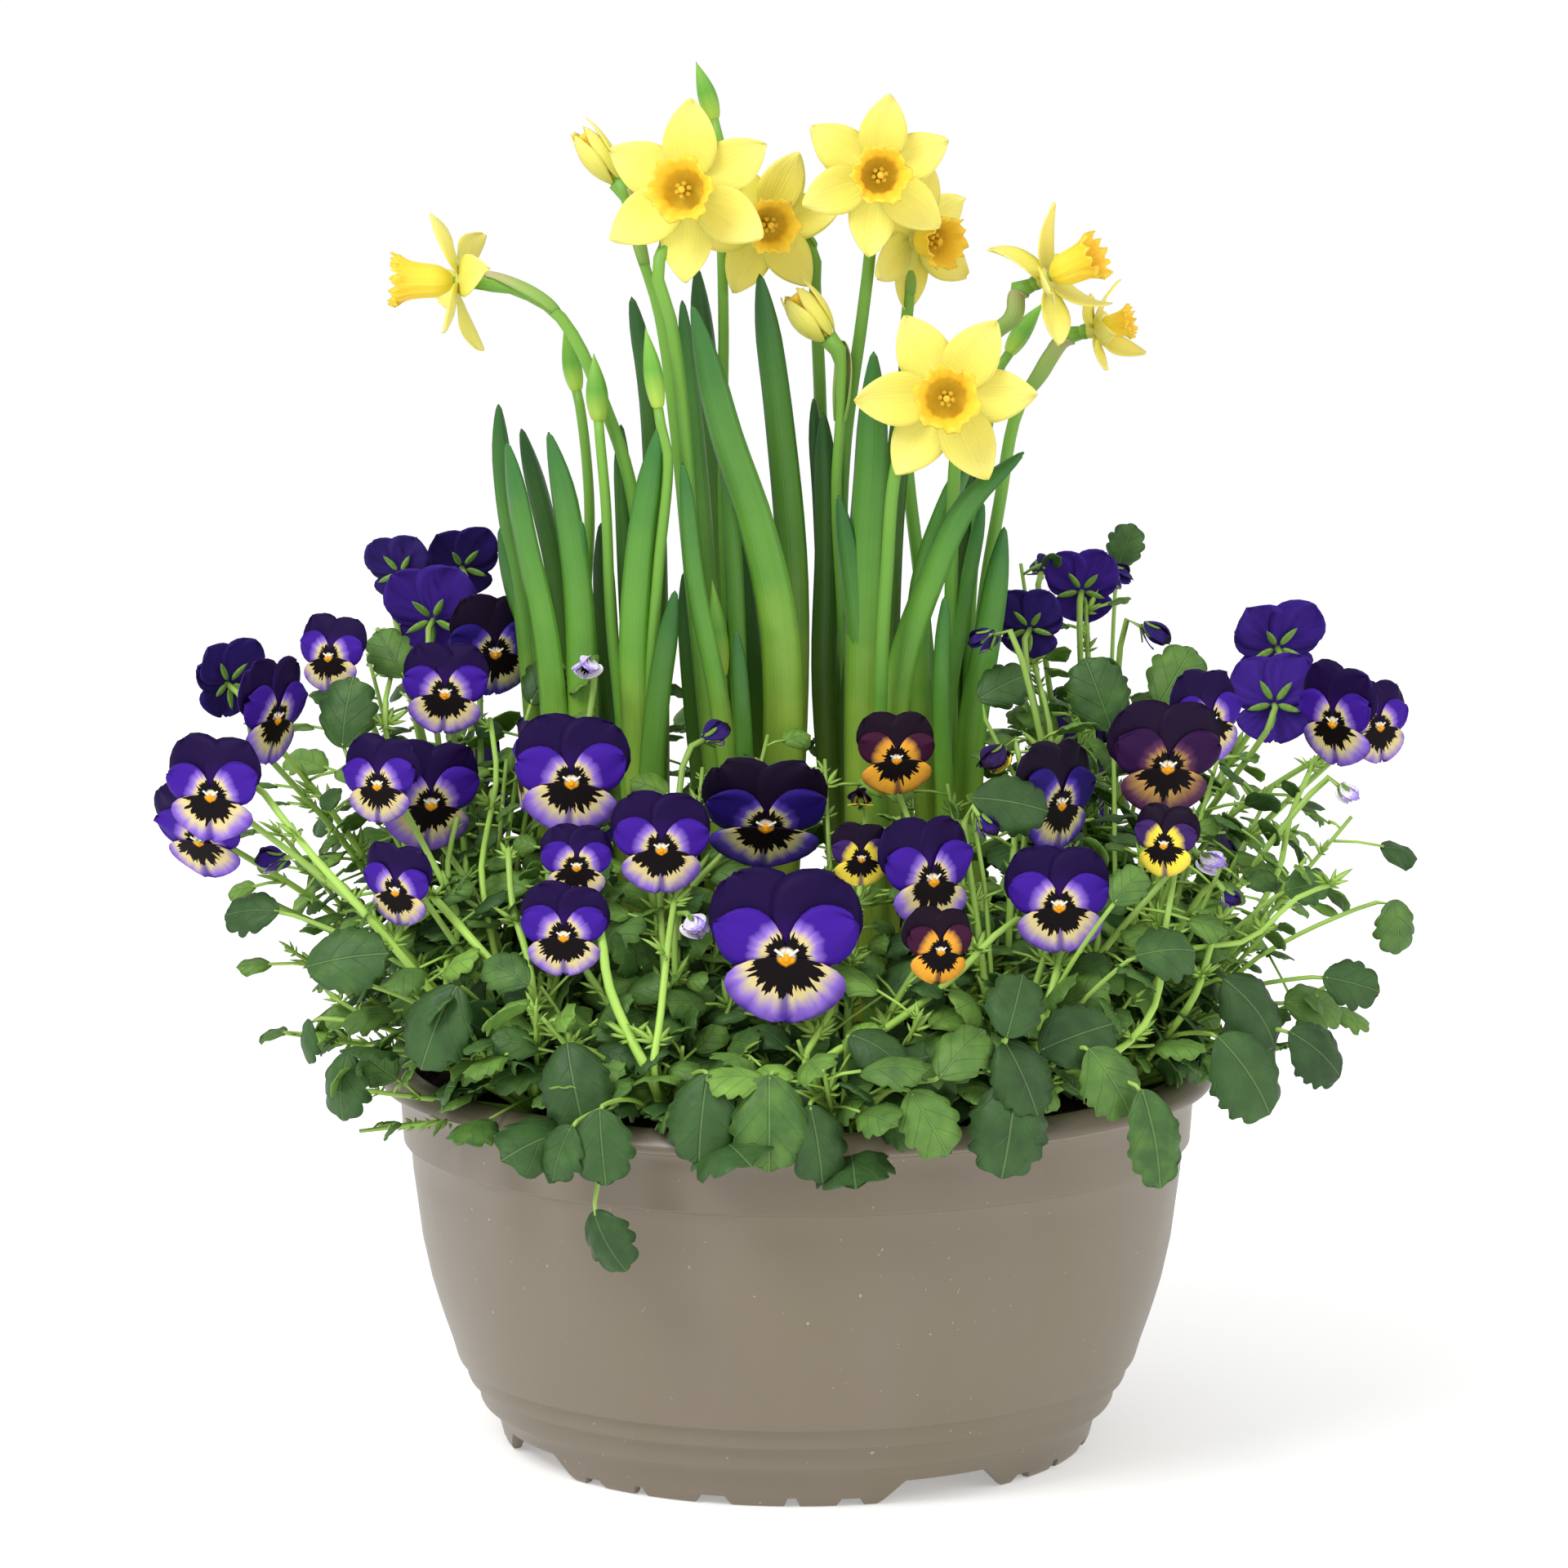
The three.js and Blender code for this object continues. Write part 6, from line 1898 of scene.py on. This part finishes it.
    def half_open(self, number: int, base: Spots, tip: Spots, wide: float) -> None:
        """Build a half-open bud: six tepals folded forward round a trumpet just showing.

        Args:
            number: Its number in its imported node's name.
            base: Where the bud starts.
            tip: Where its longest tepal ends.
            wide: Its width.
        """
        normal = unit(tip - base)
        side = unit(np.cross(UP, normal))
        axes = np.array([side, np.cross(normal, side), normal])
        long = math.dist(base, tip)
        node = f"daffodil_half_open_bud_{number}"
        petals = Piece(f"{node}_tepals", node, "daffodil_petal", self.petal, self.tepal_thick)
        u, v = self.sheet.u, self.sheet.v
        chance = self.chance
        for k in range(6):
            angle = math.radians(60 * k + chance.uniform(-8, 8))
            girth = wide / 2 * (0.24 + 0.86 * np.sin(np.pi * np.minimum(1, 0.02 + 0.9 * v)) ** 0.7)
            girth = girth * (1 - 0.16 * (k % 2)) + 0.8 * v ** 3 * chance.uniform(0, 2.4)
            wrap = angle + u * 0.72 * np.sin(np.pi * v ** 0.9) ** 0.6
            reach = long * (0.03 + (0.97 if k == 0 else chance.uniform(0.84, 0.95)) * v) - 1.2
            spots = base + np.stack([girth * np.sin(wrap), girth * np.cos(wrap), reach], axis=1) @ axes
            chart = np.stack([u * 0.5 + 0.5, v], axis=1)
            petals.copies.append(self.sheet.copy(spots, chart, age=chance.uniform(0.9, 1.02)))
        petals.close()
        route = Route([base + 1.0 * normal, base + 0.8 * long * normal], 4)
        cup = tube(self.bud, route, wide * (0.35 + 0.3 * self.bud.stage))
        Piece(f"{node}_corona", node, "daffodil_trumpet", self.trumpet, copies=[cup]).close()

    def strap_leaf(self, spots: Sequence[Spot], depth: float, wide: float, clump: int) -> None:
        """Copy one channelled strap leaf, darkened with painted shade where it stands at the back.

        Args:
            spots: Seen spots from the tip down.
            depth: Their y.
            wide: Its width.
            clump: Number of its clump.
        """
        routes = [Route(self.clumps[clump].route_down(spots, depth + shift), 10) for shift in DEPTH_SHIFTS]
        route = self.solids[clump].nearest(routes, *STEM_STAGES)
        stage = 1 - (1 - self.strap.v) ** 1.5
        ends = np.sin(np.pi / 2 * np.clip((1 - stage) * route.length / (2.6 * wide), 0, 1)) ** 0.7
        ends = ends * np.minimum(1, stage * 30)
        x = wide / 2 * (0.72 + 0.28 * np.sin(np.pi * stage)) * ends * self.strap.u
        z = 0.24 * wide * (self.strap.u ** 2 - 0.4) * ends
        twist = self.chance.uniform(-0.35, 0.35) * stage ** 2
        out, through = x * np.cos(twist) - z * np.sin(twist), z * np.cos(twist) + x * np.sin(twist)
        places = route.swept(stage, np.array([1.0, 0.25 * float(np.sign(depth)), 0.0]), out, through)
        # Painted shade: a leaf at the back gets a lower brightness, passed as its age; in front it varies at
        # random
        dim = self.chance.uniform(0.42, 0.62) if depth > 8 else self.chance.uniform(0.78, 1.12)
        self.leaves[clump].copies.append(self.strap.copy(places, age=dim))

    def necks(self, number: int, clump: Clump) -> None:
        """Copy the pale sheathing bases from which a clump's leaves and stems rise.

        Args:
            number: The clump's number.
            clump: The clump.
        """
        for k in range(9):
            out = clump.radius * 0.62 * math.sqrt(k / 9)
            place = np.array([*clump.at, 0.0]) + out * heading(2.4 * k)
            ground = soil_height(place[0], place[1])
            head = place * 1.03 + UP * (ground + self.chance.uniform(14, 24))
            route = Route([place + UP * (ground - 8), head], 4)
            self.grown(number, self.stem, route, 6.5 - 2.2 * self.stem.stage, 1.3)


@dataclass
class Bowl:
    """The injection-moulded bowl: foot ring with arches and notches, ribbed wall and rolled rim."""

    finish: Finish
    foot_radius: float = 98.7
    floor_high: float = 10.4
    arch_high: float = 7.6
    notch_high: float = 3.0
    drain_radius: float = 5.0
    drain_ring: float = 62.0
    sides: int = 200
    outside: tuple[Spot, ...] = (
        (0, 7.8), (40, 7.8), (70, 7.8), (95.2, 7.8), (95.7, 7.3), (95.7, 0.5), (96.2, 0), (98.2, 0),
        (98.8, 0.6), (99.6, 1.9), (100.9, 6.9), (102.0, 9.6), (103.5, 12.4), (104.6, 13.7), (106.8, 14.1),
        (107.3, 15.0), (107.6, 17.6), (108.4, 20.4), (109.2, 21.7), (111.2, 22.2), (111.6, 23.2),
        (111.8, 25.6), (112.3, 27.2), (112.8, 28.4), (114.6, 28.9), (115.1, 30.1), (116.9, 36.2),
        (119.3, 43.1), (121.5, 50), (123.5, 56.9), (126.4, 70.4), (128.1, 83.9), (129.3, 93), (130, 101.3),
        (130.6, 102.2), (131.9, 102.8), (132.4, 103.4), (132.8, 109), (133.2, 115.6), (133.6, 119.5),
        (134.6, 121.2), (137.8, 122.4), (139.4, 122.7), (140, 123.5), (140, 124.6), (139.2, 126),
        (137.4, 127.9), (135.6, 129), (133.8, 129.5), (131.4, 129.3), (129.6, 128.9), (129, 128.2),
    )
    inside: tuple[Spot, ...] = (
        (128.4, 120), (127.8, 101.5), (125.8, 83.9), (124.1, 70.4), (121.3, 58.5), (116.9, 43.1),
        (110.2, 28), (105.8, 19), (101.5, 13), (99.5, 11), (97, 10.4), (60, 10.4), (0, 10.4),
    )

    def cutter(self, azimuth: float, low: float, high: float, tall: float) -> Thing:
        """Add a tapered block that cuts through the foot ring.

        Args:
            azimuth: Degrees from the front towards the right.
            low: Width at the ground.
            high: Width at its top.
            tall: Its height.

        Returns:
            The block.
        """
        select()
        turn = math.radians(azimuth)
        middle = self.foot_radius * MM * heading(turn - math.pi / 2)
        bpy.ops.mesh.primitive_cube_add(size=1, location=middle, rotation=(0, 0, turn))
        block = bpy.context.active_object
        x, y, z = read_spots(block.data).T
        shaped = [x * np.where(z > 0, high, low), y * 16, np.where(z > 0, tall, -1.0)]
        block.data.vertices.foreach_set("co", np.stack(shaped, axis=1).ravel() * MM)
        return block

    def build(self) -> None:
        """Build the bowl, and cut its foot ring and its drain holes."""
        pattern, x, y, z = turned_section(self.sides, [*self.outside, *self.inside])
        piece = pattern.copy(np.stack([x, y, z], axis=1))
        bpy.context.scene.collection.objects.link(piece)
        blocks = []
        for quarter in range(4):
            stretch = -16 + 90 * quarter
            blocks.append(self.cutter(stretch + 45, 49, 30.5, self.arch_high))
            blocks.append(self.cutter(stretch, 13.6, 8.4, self.notch_high))
            for side in (-1, 1):
                blocks.append(self.cutter(stretch + 15 * side, 6, 2.8, self.notch_high))
                blocks.append(self.cutter(stretch + 26 * side, 10.5, 6, 2.5))
            select()
            place = self.drain_ring * heading(math.radians(45 + 90 * quarter)) + self.floor_high * UP
            bpy.ops.mesh.primitive_cylinder_add(
                vertices=32, radius=self.drain_radius * MM, depth=8 * MM, location=place * MM
            )
            blocks.append(bpy.context.active_object)
        cutters = joined(blocks, fresh=False)
        edit(cutters, "normals_make_consistent", inside=False)
        edit(piece, "normals_make_consistent", inside=False)
        modified(piece, "BOOLEAN", operation="DIFFERENCE", object=cutters, solver="EXACT")
        bpy.data.objects.remove(cutters)
        edit(piece, "remove_doubles", threshold=1e-6)
        select(piece)
        bpy.ops.object.shade_smooth_by_angle(angle=math.radians(32))
        Piece("bowl", "planter_bowl", "bowl_plastic", self.finish).hand_over(piece)


def turned_section(sides: int, section: Sequence[Spot]) -> tuple[Pattern, Spots, Spots, Spots]:
    """Turn a section of radii and heights round the z axis.

    Args:
        sides: Faces round.
        section: Its points, from the axis back to the axis.

    Returns:
        The rolled primitive, and the x, y and z of its vertices.
    """
    pattern = Pattern(sides, len(section) - 1, rolled=True)
    row = np.rint(pattern.v * (len(section) - 1)).astype(int)
    radius, height = np.array(section)[row].T
    return pattern, pattern.round[:, 0] * radius, pattern.round[:, 1] * radius, height


@dataclass
class Soil:
    """The compost: a rough mound with loose crumbs and fibres lying on it."""

    peat: Finish
    fibre: Finish
    crumbs: int = 420
    fibres: int = 110
    edge: float = 126.0
    underside: tuple[Spot, ...] = (
        (0, 10.8), (96.6, 10.8), (100.9, 13.6), (109.4, 28.6), (120.6, 59.2), (127.0, 101.5), (127.1, 110),
    )
    chance: np.random.Generator = field(default_factory=lambda: np.random.default_rng(4))

    def rough(self, x: Spots | float, y: Spots | float) -> Spots | float:
        """Give the rough height of the mound over its even height.

        Args:
            x: Places to the right.
            y: Places to the back.

        Returns:
            The heights.
        """
        waves = 1.1 * np.sin(0.11 * x + 1) * np.cos(0.09 * y + 2) + 0.8 * np.sin(0.31 * x + 0.17 * y)
        waves = waves + 0.5 * np.sin(0.83 * x - 0.4 * y) * np.sin(0.71 * y + 0.5)
        return waves * np.clip((self.edge - np.hypot(x, y)) / 8, 0, 1)

    def on_top(self, x: float, y: float, lift: float) -> Spots:
        """Give a place a little above the rough mound."""
        return np.array([x, y, soil_height(x, y) + float(self.rough(x, y)) + lift])

    def build(self) -> None:
        """Build the mound, its crumbs and its fibres."""
        self.mound()
        self.lay_crumbs()
        self.lay_fibres()

    def mound(self) -> None:
        """Build the mound, rough on its top alone."""
        top = [(radius, soil_height(radius, 0)) for radius in np.linspace(126.6, 0, 70)]
        pattern, x, y, height = turned_section(140, [*self.underside, *top])
        jitter = self.chance.uniform(-0.7, 0.7, len(x)) * np.clip((self.edge - np.hypot(x, y)) / 6, 0, 1)
        z = height + np.where(height > 115, self.rough(x, y) + jitter, 0)
        mound = pattern.copy(np.stack([x, y, z], axis=1))
        Piece("soil_mound", "soil", "potting_soil", self.peat, copies=[mound]).close()

    def lay_crumbs(self) -> None:
        """Strew lumpy crumbs over the mound, most of them small."""
        select()
        bpy.ops.mesh.primitive_ico_sphere_add(subdivisions=2, radius=1.0)
        ball = bpy.context.active_object
        shape = read_spots(ball.data)
        chance = self.chance
        crumbs = Piece("soil_crumbs", "soil", "potting_soil", self.peat)
        for _ in range(self.crumbs):
            out, turn = 124 * math.sqrt(chance.uniform()), chance.uniform(0, 2 * math.pi)
            size = 0.6 + 2.0 * chance.uniform() ** 3
            place = self.on_top(out * math.cos(turn), out * math.sin(turn), 0.2 * size)
            lumps = shape * chance.uniform(0.65, 1.0, 3) * (1 + 0.16 * chance.uniform(-1, 1, (len(shape), 1)))
            mesh = ball.data.copy()
            mesh.vertices.foreach_set("co", ((place + size * lumps) * MM).ravel())
            crumbs.copies.append(bpy.data.objects.new("crumb", mesh))
        crumbs.close()
        bpy.data.objects.remove(ball)

    def lay_fibres(self) -> None:
        """Strew crooked fibres over the mound."""
        thread = Pattern(5, 10, rolled=True)
        chance = self.chance
        threads = Piece("soil_fibres", "soil", "potting_soil", self.fibre)
        for _ in range(self.fibres):
            out, turn = 122 * math.sqrt(chance.uniform()), chance.uniform(0, 2 * math.pi)
            way, long = chance.uniform(0, 2 * math.pi), chance.uniform(4, 14)
            points = []
            for k in range(4):
                bend = way + 0.5 * k * chance.uniform(-1, 1)
                x, y, _ = out * heading(turn) + long * k / 3 * heading(bend)
                scale = min(1.0, 123 / max(math.hypot(x, y), 1))
                points.append(self.on_top(x * scale, y * scale, 0.5 + chance.uniform(0, 1.4)))
            threads.copies.append(tube(thread, Route(points, 6), chance.uniform(0.35, 0.8)))
        threads.close()


@dataclass
class Studio:
    """Pale floor, soft light from the upper left, and the camera where the photograph was taken."""

    floor_size: float = 9.0
    focal_length: float = 124.6
    sensor: float = 36.0
    key_power: float = 34.0
    world_strength: float = 0.7

    def build(self) -> None:
        """Build the floor, the lights and the camera."""
        select()
        bpy.ops.mesh.primitive_plane_add(size=self.floor_size, location=(0, 0, -0.2 * MM))
        floor = bpy.context.active_object
        floor.name = "floor"
        floor.data.materials.append(finished(
            start("pale_paper")[0], Base_Color=linear("F8F8F8"), Roughness=0.9,
            Emission_Color=linear("FFFFFF"), Emission_Strength=0.32,
        ))
        scene = bpy.context.scene
        scene.world = bpy.data.worlds.new("studio")
        scene.world.use_nodes = True
        tree = scene.world.node_tree
        seen = add_node(tree, "LightPath", out="Is Camera Ray")
        strength = add_node(tree, "MapRange", {0: seen, 3: self.world_strength, 4: 1.0})
        feed(tree.nodes["Background"], {"Color": linear("FFFFFF"), "Strength": strength})
        scene.view_settings.view_transform = "Standard"
        self.lamp("key", (-1.1, -1.3, 1.9), 1.0, self.key_power)
        self.lamp("fill", (1.6, -1.2, 1.1), 1.4, self.key_power * 0.3)
        scene.camera = self.camera()

    def lamp(self, name: str, place: tuple[float, float, float], size: float, power: float) -> None:
        """Add a soft square lamp that looks at the planter.

        Args:
            name: The lamp's name.
            place: Where it hangs, in metres.
            size: Its side, in metres.
            power: Its power in watts.
        """
        select()
        bpy.ops.object.light_add(type="AREA", location=place)
        lamp = bpy.context.active_object
        lamp.name = name
        lamp.data.size = size
        lamp.data.energy = power
        aim = Vector((0.0, 0.0, 0.2)) - Vector(place)
        lamp.rotation_euler = aim.to_track_quat("-Z", "Y").to_euler()

    def camera(self) -> Thing:
        """Add the camera at the photograph's place and angle.

        Returns:
            The camera.
        """
        select()
        place = np.array(EYE.place) * MM
        bpy.ops.object.camera_add(location=place, rotation=(math.radians(90 - EYE.pitch), 0, 0))
        camera = bpy.context.active_object
        camera.data.lens = self.focal_length
        camera.data.sensor_width = self.sensor
        camera.data.dof.use_dof = False
        return camera


def petal_finishes() -> dict[Tone, Finish]:
    """Build the finish of each colouring of pansy.

    Returns:
        The materials by colouring.
    """
    kinds = (
        ViolaPetal(Tone.VIOLET, "DCC06A", "D6C590", "8E6CCE", "3C1690", "280458", "18023A", "3A1E82"),
        ViolaPetal(Tone.DARK, "DCC06A", "D2C68A", "5A40B4", "24106C", "1C0630", "140520", "2E1C66"),
        ViolaPetal(Tone.GOLDEN, "F6D83A", "F2DC48", "E4CC4A", "3A2060", "1C0A2A", "160620", "2E1850"),
        ViolaPetal(Tone.AMBER, "F2B233", "F0AC36", "DE9A38", "3C1230", "200A1E", "18061A", "3A1840"),
        ViolaPetal(Tone.MAROON, "D8A85A", "A8804A", "5A3050", "2C0C3C", "220830", "1A0628", "2E1448"),
        ViolaPetal(Tone.WHITE, "F4EEDC", "F4F0F6", "E2D8F2", "B7A2E0", "D8CCEE", "9E86D8", "E8E0F4"),
    )
    return {kind.tone: kind.material() for kind in kinds}


def build_daffodils() -> None:
    """Build the daffodils in their finishes."""
    Daffodils(
        petal=GrownSkin("daffodil_tepal", "D6D45A", "F0E466", "F4E87A", 22.0, 0.5, 0.5, 0.15, 0.2).material(),
        trumpet=GrownSkin(
            "daffodil_corona", "E0D24A", "FDDC46", "FFD23A", 60.0, 0.5, 0.5, 0.3, 0.12
        ).material(),
        green=GrownSkin("daffodil_stem", "A4C048", "5C9430", "74A63C", 12.0).material(),
        leaf=GrownSkin(
            "daffodil_strap", "B4CE4C", "629A32", "36702E", 18.0, 0.36, 0.4, fresh=0.22
        ).material(),
        papery=GrownSkin("daffodil_spathe", "7FAA4A", "9AB660", "BDB684", 20.0, 0.7, 0.5).material(),
    ).build()


def build_pansies(leaf_thick: float = 0.45) -> None:
    """Build the pansy plants with their blooms.

    Args:
        leaf_thick: Thickness of the leaves.
    """
    plants = {f"pansy_plant_{name}": Plant(f"pansy_plant_{name}", at) for name, at in CROWNS.items()}
    leaf = LeafGreen("pansy_leaf", "1B3018", "3B5F2C", "7CA644", "86A868").material()
    stem = GrownSkin("pansy_stem", "96BC4C", "A2CA58", "98BC56", 10.0).material()
    greens = {node: Piece(f"{node}_leaves", node, "pansy_green", leaf, leaf_thick) for node in plants}
    stems = {node: Piece(f"{node}_stems", node, "pansy_green", stem) for node in plants}
    blooms = [*near_blooms(), *far_blooms()]
    PansyBlooms(blooms, plants, greens, petal_finishes()).build()
    PansyGreens(blooms, plants, greens, stems).build()
    for piece in (*greens.values(), *stems.values()):
        piece.close()


def main() -> None:
    """Build the planter's pieces in order, and the studio round them."""
    logging.basicConfig(level=logging.INFO, format="%(message)s")
    Bowl(MouldedPolypropylene().material()).build()
    fibre = GrownSkin("peat_fibre", "3A2016", "5B3426", "6E4630", 4.0, rough=0.9)
    Soil(Peat("moist_peat", "120806", "3A2018").material(), fibre.material()).build()
    build_daffodils()
    build_pansies()
    Pattern.clear()
    Studio().build()


if __name__ == "__main__":
    main()
